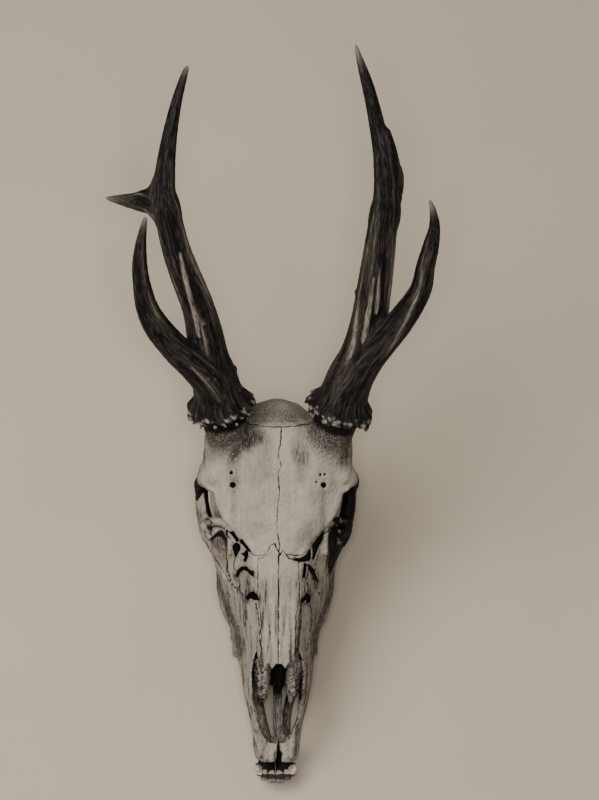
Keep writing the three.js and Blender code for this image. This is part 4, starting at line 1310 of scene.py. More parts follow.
    def inner_nose(self, grid: Grid) -> None:
        """Joins the scrolled turbinates, their hanging tips and the septum inside the nose."""
        for side in (-1, 1):
            scroll = (
                (7.4, -82, -24, 0.9),
                (8.0, -78.5, -21, 2.2),
                (8.2, -73, -18, 3.7),
                (8.2, -66, -15.5, 4.1),
                (8.0, -58, -15, 4.2),
                (7, -46, -16, 5),
            )
            plate = (
                (11.8, -60, -13, 1.4), (12.2, -68, -17, 1.2), (10.6, -75, -22, 0.9),
                (8.6, -81.5, -27, 0.7)
            )
            grid.add(Limb([(side * x + 0.3, v, w, r) for x, v, w, r in scroll], flat=1.3), blend=0.5)
            grid.add(Limb([(side * x + 0.3, v, w, r) for x, v, w, r in plate], flat=2.0), blend=0.5)
        grid.add(
            Limb(
                (
                    (0.8, -46, -18, 4.4), (0.8, -60, -20, 4.0), (0.9, -70, -25, 3.4),
                    (1.0, -77, -30, 2.2), (1.0, -81, -32, 0.8)
                ),
                flat=1.1
            ),
            blend=0.8,
        )
        grid.add(Limb(((-11.2, -58.4, -6, 0.7), (-10.2, -62, -8, 0.9), (-9.4, -66.5, -11, 0.6))), blend=0.4)

    def sockets(self, grid: Grid) -> None:
        """Swells the jaw over the roots of the cheek teeth."""
        start = 58.0
        for length in CHEEK_TEETH:
            mid = start + length / 2
            x = upper_row_x(mid)
            for side in (-1, 1):
                for lean in (-0.22, 0.22):
                    v0, w0 = palate(mid + lean * length, 0.6)
                    v1, w1 = palate(mid + lean * length, 9)
                    grid.add(
                        Limb(((side * (x + 1.8), v0, w0, 3.0), (side * (x + 1.4), v1, w1, 2.2))),
                        blend=2.2
                    )
            start += length

    def whole(self) -> Grid:
        """The whole cranium on one grid.

        Returns:
            The grid.
        """
        grid = Grid(self.low, self.high, FINE_STEP)
        self.body(grid)
        grid.cut(*both(self.orbit), blend=1.5)
        grid.cut(Limb(((0, 2, -60, 5.4), (0, 14, -58, 5.6), (0, 26, -60, 4.5))), blend=1.0)
        self.nose(grid)
        self.brow(grid)
        grid.add(*both(self.arch, self.postorbital), blend=2.5)
        self.back(grid)
        self.face(grid)
        self.sockets(grid)
        for seat in self.seats.values():
            grid.add(seat, blend=7.0)
        grid.cut(*self.vacuities(), blend=0.5)
        self.inner_nose(grid)
        self.small_holes(grid)
        return grid

    def regions(self) -> list[tuple[str, Callable[[int], list[Prism]]]]:
        """The bones in the order in which they are parted, each with its cutters by side."""
        roots = {
            -1: ((0, -0.8), (0.3, -0.5), (2, 4), (4, 3.2), (5.7, -0.5), (8.5, -3.9)),
            1: ((0, -2.9), (0.7, -2.5), (2.8, 1.2), (4.5, -3.2), (5.9, -4.6), (8.5, -4.7)),
        }
        tips = (
            (10.8, -4), (11.4, -24), (9.4, -35), (9.2, -58), (7.6, -63.6), (5.8, -60.6), (3.4, -63.2),
            (1.6, -60.4), (0, -61.5)
        )
        frontal = (
            (-1, -1.2), (12.6, -2.6), (20, 4), (28, 12), (36, 20), (50, 26), (50, 72), (34, 72),
            (23, 69.6), (14, 67.8), (6, 66.7), (-1, 66.4)
        )
        premaxilla = (
            (-130, 20), (-57, 20), (-58, -6), (-61, -14), (-66, -22), (-74, -34), (-76, -60), (-130, -60)
        )
        maxilla = ((-130, 30), (19, 30), (18, -12), (14, -34), (4, -46), (-2, -56), (0, -90), (-130, -90))
        jugal_face = (
            (25, -18), (28.1, -12.5), (30.9, -8), (33.4, -4), (38, 3.8), (60, 6), (60, 21), (27.4, 21),
            (27.5, 0), (26.4, -10),
        )
        jugal_arch = ((33, 13), (60, 13), (60, 47), (33, 47))

        def front(side: int, outline: Rows, low: float, high: float = 60, ripple: float = 0.3) -> Prism:
            return Prism([(side * x, v) for x, v in outline], low, high, ripple=ripple)

        return [
            ("nasal", lambda side: [front(side, (*roots[side], *tips), -6)]),
            ("premaxilla", lambda side: [Prism(premaxilla, -200, 200, from_side=True, ripple=0.25)]),
            (
                "cheekbone",
                lambda side: [
                    front(side, jugal_face, -44, -8, 0.2), front(side, jugal_arch, -44, -15.8, 0.1)
                ]
            ),
            ("frontal", lambda side: [front(side, frontal, -15.5)]),
            ("maxilla", lambda side: [Prism(maxilla, -200, 200, from_side=True)]),
        ]

    def build(self, shop: Workshop) -> None:
        """Works out the cranium, parts it and makes its bones.

        Args:
            shop: where the pieces are made.
        """
        grid = self.whole()
        full = (grid.fullness(1.6), grid.fullness(4.0))
        window = grid.whole()
        rest = grid.value.copy()
        xs, vs, ws = grid.axes(window)
        middle = (
            track(self.midline, vs)
            + 0.16 * jagged(1.7 * vs)[..., None] * smooth_step(vs, -10, 30)[..., None]
        )
        middle = middle[..., 0]
        for name, cutter in self.regions():
            for side in Side:
                inside = np.minimum.reduce([prism.distance(grid, window) for prism in cutter(side.value)])
                if name != "cheekbone":
                    inside = np.maximum(inside, side.value * (middle - xs) + SEAM / 2)
                piece = np.maximum(rest, inside)
                self.bone(shop, grid, piece, full, f"{name}_{side.word}")
                rest = np.maximum(rest, SEAM - inside)
            if name == "nasal":
                rest = np.maximum(rest, -Prism(self.nose_roof, -6, 60, ripple=0.2).distance(grid, window))
        self.bone(shop, grid, rest, full, "braincase")

    def bone(self, shop: Workshop, grid: Grid, value: Array, full: Array, name: str) -> None:
        """Makes one bone from its distances.

        Args:
            shop: where the pieces are made.
            grid: the cranium's grid.
            value: distances to this bone on that grid.
            full: share of bone about each point of the grid.
            name: of the CAD node that it replaces.
        """
        held = np.argwhere(value < 0)
        window = tuple(slice(max(int(a) - 2, 0), int(b) + 3) for a, b in zip(held.min(0), held.max(0)))
        piece = Grid(grid.low, grid.low, grid.step)
        piece.low = grid.low + (np.array([s.start for s in window]) - 1) * grid.step
        piece.value = np.pad(value[window], 1, constant_values=OPEN)
        piece.count = np.array(piece.value.shape)
        if name == "braincase":
            piece = piece.coarser(BRAINCASE_SHARE)
        points, faces = piece.surface()
        points = relaxed(points, faces, 2)
        normal = outward(points, faces)
        near, wide = grid.sample(full[0], points + normal * 1.2), grid.sample(full[1], points + normal * 2.6)
        # painted shade: the more bone about a place, the darker it is painted
        hollow = np.maximum(near - 0.24, wide - 0.26) * 2
        inner = self.inside_nose(points)
        spongy = (
            inner * smooth_step(np.abs(points[:, 0] - 0.8), 3.2, 4.6)
            * smooth_step(points[:, 2], -31, -28)
        )
        relief = (
            0.14 * waves(points, 12, 1) + 0.07 * waves(points, 3.5, 2)
            + 0.3 * spongy * waves(points, 2.4, 6)
        )
        points = points + normal * relief[:, None]
        marks = {
            "hollow": np.maximum(hollow, self.pits(points, normal, inner)),
            "stain": self.stain(points, normal, inner),
            "spongy": spongy,
            "course": points * (1, 0.13, 1),
        }
        slot = "toothed_bone" if name.startswith("maxilla") else "bone"
        shop.piece(
            name.replace("_", "_bone_", 1) if "_" in name else f"{name}_bone", points, faces, shop.bone,
            marks, [name], slot
        )

    def inside_nose(self, points: Array) -> Array:
        """1 well inside the opening of the nose, 0 outside it."""
        half = track(self.nose_plan, points[:, 1])[:, 0]
        depth = (
            smooth_step(-points[:, 2], 6.5, 9.5) * (points[:, 1] > self.nose_plan[0][0])
            * (points[:, 1] < -46)
        )
        return depth * (1 - smooth_step(np.abs(points[:, 0]) - half, 0.2, 1.2))

    def stain(self, points: Array, normal: Array, inner: Array) -> Array:
        """Share of painted shade: on the flanks, the dome, round the antlers' feet, in nose and orbits.

        Args:
            points: places on a bone.
            normal: which way the bone faces there.
            inner: 1 inside the nose.

        Returns:
            The share at each place.
        """
        x, v, w = points.T
        cloud = 0.5 + 0.5 * waves(points, 16, 31)
        snout = smooth_step(-v, 8, 18)
        side_on = smooth_step(np.abs(normal[:, 0]), 0.45, 0.8)
        # painted shade: darker on faces that turn away from the front, on the snout's flanks and on faces
        # that look right
        flank = (0.62 - 0.6 * snout) * smooth_step(-normal[:, 2], -0.86, -0.05) * (0.6 + 0.4 * cloud)
        flank += 0.3 * snout * side_on + 0.14 * smooth_step(normal[:, 0], 0.2, 0.85)
        crease = np.interp(v, *np.transpose(self.crease))
        # painted shadow along the facial crest
        flank += (
            0.95 * np.exp(-(((np.abs(x) - crease) / 1.5) ** 2)) * smooth_step(-v, 9, 15)
            * smooth_step(v, -62, -52)
        )
        # painted shade on the dome
        dome = (0.5 + 0.25 * cloud) * smooth_step(v, 65, 70) * smooth_step(w, -60, -20)
        high = np.zeros(len(points))
        # painted shade on the forehead, after the table of shades
        for middle, height, wide, tall, share in self.shades:
            off = np.hypot((x - middle) / wide, (v - height) / tall)
            high += share * (1 - smooth_step(off, 0.2, 1.0)) * (0.6 + 0.5 * cloud)
        # painted shadow round the antlers' feet
        foot = np.zeros(len(points))
        for seat in self.seats.values():
            gap = np.linalg.norm(points - np.asarray(seat.stations[-1][:3]), axis=1)
            foot = np.maximum(foot, 1.0 - smooth_step(gap, 14, 30))
        # painted shade in streaks along the snout
        streak = 0.4 * smooth_step(waves(points * (1, 0.12, 1), 4.5, 32), 0.2, 1.3) * snout
        streak += 0.5 * smooth_step(waves(points * (1, 0.06, 1), 2.4, 33), 0.35, 1.2) * snout
        for middle, wide, share in ((9.2, 2.8, 0.75), (5.6, 1.8, 0.4), (2.0, 1.6, 0.3), (19.5, 4.0, 0.25)):
            streak += (
                share * smooth_step(-np.abs(np.abs(x - 0.6) - middle), -wide, 0) * snout
                * (0.4 + 0.6 * cloud)
            )
        # painted shade round the gaps of the face
        holes = np.zeros(len(points))
        for prism in self.vacuities():
            gap = outline_distance(x, v, prism.outline)
            below = smooth_step(v - np.abs(x) * 0.6, -2, -9)
            holes = np.maximum(holes, 0.4 * (1 - smooth_step(gap, 0.2, 3.2)) * below)
        # painted shade in the fossa below the rim
        fossa = 1 - smooth_step(outline_distance(np.abs(x), v, self.fossa), -1.6, 1.0)
        fossa *= 0.45 + 0.5 * smooth_step(v, -12, 7)
        # painted deep shade on the right side
        shady = 0.95 * (1 - smooth_step(outline_distance(x, v, self.lee), -1.0, 2.0))
        total = flank + high + streak + holes
        # painted shade inside the nose, lighter on the scrolls
        scroll = smooth_step(w, -31, -25) * smooth_step(np.abs(x - self.septum_x), 3.8, 5.2)
        nose = 0.9 * inner * (1 - 0.5 * scroll)
        return np.clip(np.maximum.reduce([total, dome, foot, fossa, shady, nose]), 0, 1)

    def pits(self, points: Array, normal: Array, inner: Array) -> Array:
        """How much painted black shade a place gets in the depth of an eye socket, the nose or a gap of the
        face.

        Args:
            points: places on a bone.
            normal: which way the bone faces there.
            inner: 1 inside the nose.

        Returns:
            0 in the open to 1 in the dark.
        """
        x, v, w = points.T
        dark = np.zeros(len(points))
        # painted black shade deep in the eye sockets
        for ball in both(self.orbit):
            off = (points - np.asarray(ball.centre)) / np.asarray(ball.radii)
            inside = 1 - smooth_step(np.linalg.norm(off, axis=1), 1.03, 1.12)
            deep = smooth_step(v - np.where(x < 0, 6, 0), 12.5, 15.5)
            dark = np.maximum(dark, inside * smooth_step(-w, 7, 12) * (np.abs(x) < 34) * deep)
        # painted black shade in the socket's upper corner, behind the bar
        corner = 1 - smooth_step(outline_distance(-np.abs(x), v, self.socket_corner), -0.2, 0.6)
        dark = np.maximum(dark, corner * smooth_step(-w, 8.5, 10.5))
        # painted shadow under the burrs
        for seat in self.seats.values():
            gap = np.linalg.norm(points - np.asarray(seat.stations[-1][:3]), axis=1)
            up = np.subtract(seat.stations[-1][:3], seat.stations[-2][:3])
            rise = (points - np.asarray(seat.stations[-1][:3])) @ (up / np.linalg.norm(up))
            dark = np.maximum(dark, 0.9 * smooth_step(rise, -13, -2) * (1 - smooth_step(gap, 15, 23)))
        # painted shade under the rim and on the right side, left off the spurs
        under = 1 - smooth_step(outline_distance(np.abs(x), v, self.under_rim), -1.1, 1.5)
        lee = 1 - smooth_step(outline_distance(x, v, self.lee), -1.2, 0.8)
        for spur in self.spurs:
            lee *= smooth_step(np.linalg.norm(points - np.asarray(spur.centre), axis=1), 1.0, 1.7)
        # painted shade in the nose, about the septum and along its outer walls
        off = np.abs(x - self.septum_x)
        septum = inner * (1 - smooth_step(off, 3.4, 5.0)) * smooth_step(v, -83, -77)
        edges = inner * smooth_step(off, 10.2, 11.6) * smooth_step(v, -88, -80)
        dark = np.maximum.reduce([dark, 0.9 * under, 0.75 * lee, 0.78 * septum, 0.7 * edges])
        # painted shade on the inner faces of the cheek arches
        within = (
            smooth_step(-np.sign(x) * normal[:, 0], 0.3, 0.6) * smooth_step(v, 15, 18)
            * smooth_step(-v, -40, -36)
        )
        dark = np.maximum(dark, within * (np.abs(x) > 33.5) * smooth_step(-w, 12, 15))
        # painted shade behind the right eye socket
        behind = (
            smooth_step(x, 33.5, 35) * smooth_step(v, 13, 17) * smooth_step(-v, -34, -31)
            * smooth_step(-w, 9, 12)
        )
        dark = np.maximum(dark, 0.9 * behind)
        # painted shade at the edges of the gaps of the face
        for prism in self.vacuities():
            gap = outline_distance(x, v, prism.outline)
            dark = np.maximum(dark, (1 - smooth_step(gap, 0.1, 0.5)) * (w > prism.low - 2))
        wander = 0.25 * waves(points, 2.2, 41)
        # dark lines painted along the creases and open seams, as the shade in them
        for line in self.creases:
            course = curve_through(np.asarray(line, float), 12 * len(line))
            gap = np.hypot(x[:, None] - course[:, 0], v[:, None] - course[:, 1]).min(axis=1) + wander
            dark = np.maximum(dark, 0.8 * (1 - smooth_step(gap, 0.15, 0.75)) * smooth_step(w, -30, -24))
        return dark


CHEEK_TEETH = (8, 9, 9.5, 10, 10.5, 11)  # lengths of the six teeth, front to back


def upper_row_x(s: float) -> float:
    """Middle of the upper tooth row, s behind the front end."""
    return 18.2 + (s - 58) / 58 * 5.2


def lower_row_x(s: float) -> float:
    """Middle of the lower tooth row, s behind the front end."""
    return 15.4 + (s - 58) / 58 * 5.8


# ------------------------------------------------------------------------------ the lower jaw


@dataclass
class LowerJaw:
    """The two halves of the lower jaw with their incisors and cheek teeth."""

    # s, lower edge h, upper edge h, middle x, half thickness
    plan: Rows = (
        (-4, -12.3, -8, 4.6, 3.4),
        (2, -16.7, -8.4, 4.8, 4.2),
        (14, -19.1, -10, 5.2, 3.6),
        (30, -21.8, -12, 7.2, 2.4),
        (45, -24.6, -12, 10.6, 3),
        (56, -26.5, -10, 13.6, 4.4),
        (75, -29.7, -9.5, 16.6, 5),
        (95, -33.1, -9.5, 19.6, 5.6),
        (114, -36.4, -9.5, 22.6, 5.4),
        (122, -37.6, -6, 24.4, 4.6),
        (129, -38.8, 8, 26, 3.6),
        (136, -39.9, 19, 27.6, 3.2),
        (143, -41.0, 23, 29.2, 3.2),
        (149, -39.2, 25, 30.6, 3),
        (153.5, -31, 25.5, 31.4, 2.6),
        (156, -18, 22, 31.8, 1.6),
    )
    coronoid: Rows = (
        (26.8, 131, 6, 5), (28.6, 133, 20, 4.2), (30.2, 135.5, 33, 3.2), (31, 139.5, 42, 2.4),
        (31.2, 143.5, 47, 1)
    )

    def body(self, grid: Grid, side: int) -> None:
        """Fills the grid with one half: a plate between two heights, rounded at its edges.

        Each point is taken to its s along the tooth line and its h above it; the distance is
        a rounded box's about the plan's middle, with the plan's height and thickness.

        Args:
            grid: the grid to fill.
            side: -1 for the left half, 1 for the right.
        """
        xs, vs, ws = grid.axes(grid.whole())
        c, n = math.cos(PALATE_TILT), math.sin(PALATE_TILT)
        s = (vs - SOCKET_FRONT) * c - (ws - SOCKET_HEIGHT) * n
        h = (vs - SOCKET_FRONT) * n + (ws - SOCKET_HEIGHT) * c
        low, high, x, thick = (track(self.plan, s)[..., k] for k in range(4))
        across = np.abs(side * xs - x) / thick
        tall = np.abs(h - (low + high) / 2) / ((high - low) / 2)
        size = (across**2.5 + tall**2.5) ** 0.4
        away = (size - 1) * np.minimum(thick, (high - low) / 2)
        ends = np.maximum(self.plan[0][0] - s, s - self.plan[-1][0])
        grid.value[:] = -smooth_min(-away.astype(np.float32), -ends.astype(np.float32), 2.0)

    def limb(self, rows: Rows, side: int, flat: float = 1.0) -> Limb:
        """A limb along rows of x, s, h and radius."""
        return Limb([(side * x, *palate(s, h), r) for x, s, h, r in rows], flat)

    def half(self, side: int) -> Grid:
        """One half of the jaw on its grid.

        Args:
            side: -1 for the left half, 1 for the right.

        Returns:
            The grid.
        """
        low = (-38, -124, -112) if side < 0 else (-1, -124, -112)
        high = (1, 62, 22) if side < 0 else (38, 62, 22)
        grid = Grid(low, high, FINE_STEP)
        self.body(grid, side)
        grid.add(self.limb(self.coronoid, side), blend=4.0)
        grid.add(Ball((side * 29, *palate(150.5, 25.4)), (6.6, 4, 3.2)), blend=2.5)
        grid.cut(
            self.limb(((32.4, 130, -8, 2.4), (33.4, 140, -4, 4.2), (34.4, 147, 2, 2.6)), side), blend=3.0
        )
        grid.cut(self.limb(((23.5, 132, -8, 2.0), (25, 142, -6, 4.0), (27, 149, -6, 2.0)), side), blend=3.0)
        grid.cut(self.limb(((9.5, 24, -14.5, 1.2), (7.8, 26, -15, 1.2)), side), blend=0.8)
        start = 57.0
        for length in CHEEK_TEETH:
            mid = start + length / 2
            x = lower_row_x(mid)
            grid.add(self.limb(((x, mid, -9.5, 4.0), (x + 0.6, mid, -17, 2.6)), side), blend=2.5)
            start += length
        for x, _, back in Teeth.incisors:
            grid.add(
                self.limb(((0.5 * x + 1, 3, -13, 1.8), (0.8 * x, -3 + 0.5 * back, -10.6, 1.6)), side),
                blend=1.2
            )
        return grid

    def build(self, shop: Workshop) -> None:
        """Makes both halves of the jaw.

        Args:
            shop: where the pieces are made.
        """
        for side in Side:
            grid = self.half(side.value)
            xs, _, _ = grid.axes(grid.whole())
            grid.value[:] = np.maximum(grid.value, GAP / 2 - side.value * xs)
            grid.value[:] = ends_closed(grid.value)
            full = grid.fullness(1.6)
            points, faces = grid.surface()
            points = relaxed(points, faces, 2)
            normal = outward(points, faces)
            # painted shade: the more bone about a place, the darker it is painted
            hollow = (grid.sample(full, points + normal * 1.2) - 0.24) * 2
            points = points + normal * (0.14 * waves(points, 11, 3) + 0.06 * waves(points, 3.5, 4))[:, None]
            v = points[:, 1]
            # painted shade over the front of the jaw, under the snout
            stain = 0.95 * smooth_step(v, -120, -118) * (1 - smooth_step(v, -60, -30))
            # painted shadow between the upper jaw's front and the lower incisors
            hollow = np.maximum(hollow, 0.9 * smooth_step(v, -122, -121) * (1 - smooth_step(v, -108, -104)))
            # painted shade where the jaw is seen through the palate's fissures
            hollow = np.maximum(hollow, 0.66 * smooth_step(v, -96, -82) * (1 - smooth_step(v, -60, -50)))
            marks = {"hollow": hollow, "stain": stain, "spongy": 0 * stain, "course": points * (1, 0.13, 1)}
            shop.piece(
                f"jaw_bone_{side.word}", points, faces, shop.bone, marks, [f"mandible_{side.word}"],
                "toothed_bone"
            )


def ends_closed(value: Array) -> Array:
    """Distances with the outermost layer of the grid left open, so that the skin closes."""
    closed = np.full(value.shape, OPEN, np.float32)
    closed[1:-1, 1:-1, 1:-1] = value[1:-1, 1:-1, 1:-1]
    return closed


# ---------------------------------------------------------------------------------- the teeth


@dataclass
class Teeth:
    """Crowns of the cheek teeth and the fan of eight incisors."""

    across: int = 28
    rings: int = 22
    # one side's incisors, middle one first: x of the crown, half its width, how far it lies back
    incisors: Rows = ((2.3, 2.25, 0), (6.4, 1.95, 1.3), (9.0, 1.5, 3.4), (10.1, 1.2, 5.8))
    # where the painted shade of the root ends, the dark band of painted shade and wear begins and its pale
    # rim begins, by v and by -v
    root_shade_edge: Sequence[float] = (-117.6, -116.4)
    worn_and_shade_edge: Sequence[float] = (121.0, 122.6)
    rim_edge: Sequence[float] = (123.6, 124.3)

    def crown(self, middle: Array, axes: Array, half: Array, seed: int) -> tuple[Array, Array]:
        """One cheek crown: a rounded square column with a worn, ridged top.

        The section is a superellipse, pinched in the middle of its long side, and the top is
        a height that dips between its cusps.

        Args:
            middle: of the crown's foot.
            axes: unit rows along its length, across it and up it.
            half: half length, half width and height.
            seed: of its wear.

        Returns:
            Points and quads.
        """
        angle = np.linspace(0, math.tau, self.across, endpoint=False)
        c, s = np.cos(angle), np.sin(angle)
        along = np.sign(c) * np.abs(c) ** 0.62
        wide = np.sign(s) * np.abs(s) ** 0.72 * (1 - 0.2 * np.exp(-((along / 0.2) ** 2)))
        height = np.concatenate(
            [np.linspace(0, 1, self.rings // 2), np.full(self.rings - self.rings // 2, 1.0)]
        )
        spread = np.concatenate(
            [
                1 + 0.05 * np.sin(np.linspace(0, math.pi, self.rings // 2)),
                np.linspace(0.96, 0.02, self.rings - self.rings // 2)
            ]
        )
        a = spread[:, None] * along * half[0]
        b = spread[:, None] * wide * half[1]
        cusp = (
            0.16 * np.cos(a / half[0] * math.tau) * np.cos(b / half[1] * math.pi)
            + 0.07 * np.sin(3 * a + seed)
        )
        up = (
            (height[:, None] + np.where(height[:, None] >= 1, cusp - 0.1 * (1 - spread[:, None]), 0))
            * half[2]
        )
        points = middle + a[..., None] * axes[0] + b[..., None] * axes[1] + up[..., None] * axes[2]
        return closed_tube(points)

    def incisor(self, x: float, wide: float, back: float, side: int) -> tuple[Array, Array]:
        """One incisor: a broad spade-shaped crown, worn square at its edge, on a narrow root.

        Args:
            x: middle of the crown.
            wide: half its width.
            back: how far it lies behind the middle one.
            side: -1 for the left side, 1 for the right.

        Returns:
            Points and quads.
        """
        rows = (
            (0.5 * x + 1, 2, -13, 1.0),
            (0.82 * x, -3.4 + 0.5 * back, -10.2, 1.2),
            (0.97 * x, -5.6 + 0.9 * back, -8.2, wide * 0.86),
            (x, -7.4 + back, -6.2, wide),
            (x, -9.6 + back, -3.8, wide * 1.02),
            (x, -10.7 + back, -2.7, wide * 0.7),
        )
        stations = np.array([(side * a, *palate(s, h), r) for a, s, h, r in rows])
        path = curve_through(stations[:, :3], self.rings)
        place = np.linspace(0, 1, len(stations))
        radius = track(np.column_stack([place, stations[:, 3]]), np.linspace(0, 1, self.rings))[:, 0]
        tangent = np.gradient(path, axis=0)
        tangent /= np.linalg.norm(tangent, axis=1)[:, None]
        across = np.array([1.0, 0, 0]) - tangent[:, :1] * tangent
        across /= np.linalg.norm(across, axis=1)[:, None]
        up = np.cross(tangent, across)
        angle = np.linspace(0, math.tau, self.across, endpoint=False)
        c = np.sign(np.cos(angle)) * np.abs(np.cos(angle)) ** 0.55
        s = np.sign(np.sin(angle)) * np.abs(np.sin(angle)) ** 0.8
        thick = np.interp(np.linspace(0, 1, self.rings), (0, 0.5, 0.85, 1), (1.0, 1.3, 1.0, 0.45))
        ring = (
            radius[:, None, None] * c[:, None] * across[:, None, :]
            + thick[:, None, None] * s[:, None] * up[:, None, :]
        )
        return closed_tube(path[:, None, :] + ring)

    def row(self, side: int, upper: bool) -> tuple[Array, Array]:
        """A row of six cheek crowns.

        Args:
            side: -1 for the left row, 1 for the right.
            upper: whether it is in the upper jaw.

        Returns:
            Points and quads.
        """
        start = 58.0 if upper else 57.0
        parts = []
        for i, length in enumerate(CHEEK_TEETH):
            mid = start + length / 2
            x = (upper_row_x if upper else lower_row_x)(mid)
            foot, top = (2.0, -5.0) if upper else (-13.5, -5.3)
            v, w = palate(mid, foot)
            c, n = math.cos(PALATE_TILT), math.sin(PALATE_TILT)
            rise = math.copysign(1, top - foot)
            axes = np.array([[0, c, -n], [1.0, 0, 0], [0, n * rise, c * rise]])
            half = np.array(
                [length * 0.5, (12.6 if upper else 8.6) / 2 * (0.72 + 0.07 * i), abs(top - foot) * 0.94]
            )
            parts.append(self.crown(np.array([side * x, v, w]), axes, half, i))
            start += length
        return joined(parts)

    def build(self, shop: Workshop) -> None:
        """Makes the four cheek rows and the eight incisors.

        Args:
            shop: where the pieces are made.
        """
        for side in Side:
            for upper in (True, False):
                points, faces = self.row(side.value, upper)
                depth = (
                    (points[:, 1] - SOCKET_FRONT) * math.sin(PALATE_TILT)
                    + (points[:, 2] - SOCKET_HEIGHT) * math.cos(PALATE_TILT)
                )
                foot = smooth_step(depth, -2.0, 2.5) if upper else smooth_step(-depth, 8.0, 12.0)
                # painted shade over the crowns, darker towards the roots
                marks = {"hollow": 0.4 + 0.35 * foot}
                name = f"{'upper' if upper else 'lower'}_cheek_teeth_{side.word}"
                shop.piece(name, points, faces, shop.enamel, marks, [], "toothed_bone")
            parts = [self.incisor(*row, side.value) for row in self.incisors]
            points, faces = joined(parts)
            v = points[:, 1] + 0.3 * waves(points, 3, 9)
            # painted shade at the root, and a dark band of painted shade and wear near the edge, paler at
            # the very rim
            root = smooth_step(v, *self.root_shade_edge)
            worn = smooth_step(-v, *self.worn_and_shade_edge) * (1 - 0.45 * smooth_step(-v, *self.rim_edge))
            marks = {"hollow": 0.25 + 0.75 * np.maximum(root, worn)}
            shop.piece(f"incisors_{side.word}", points, faces, shop.enamel, marks, [], "toothed_bone")


def closed_tube(rings: Array) -> tuple[Array, Array]:
    """A skin over rings of points, each end drawn in to the middle of its ring.

    Args:
        rings: points, shape (rings, around, 3).

    Returns:
        Points, and quads that face outwards when the rings turn right-handed along the tube.
    """
    ends = [
        np.repeat(rings[k].mean(axis=0)[None], rings.shape[1], axis=0) * 0.98 + rings[k] * 0.02
        for k in (0, -1)
    ]
    rings = np.concatenate([ends[0][None], rings, ends[1][None]])
    count, around = rings.shape[:2]
    number = np.arange(count * around).reshape(count, around)
    following = np.roll(number, -1, axis=1)
    quads = np.stack([number[:-1], following[:-1], following[1:], number[1:]], axis=-1).reshape(-1, 4)
    strip = np.arange(around // 2 - 1)
    caps = []
    for ring in (number[0], number[-1][::-1]):
        caps.append(np.stack([ring[strip], ring[-strip - 1], ring[-strip - 2], ring[strip + 1]], axis=1))
    points = rings.reshape(-1, 3)
    faces = np.concatenate([quads, *caps])
    volume = np.einsum("ij,ij->", points[faces[:, 0]], np.cross(points[faces[:, 1]], points[faces[:, 2]]))
    return points, faces if volume > 0 else faces[:, ::-1]


def joined(parts: Sequence[tuple[Array, Array]]) -> tuple[Array, Array]:
    """Several skins as one."""
    offsets = np.cumsum([0] + [len(points) for points, _ in parts[:-1]])
    return (
        np.concatenate([points for points, _ in parts]),
        np.concatenate([faces + offset for (_, faces), offset in zip(parts, offsets)]),
    )


# -------------------------------------------------------------------------------- the antlers


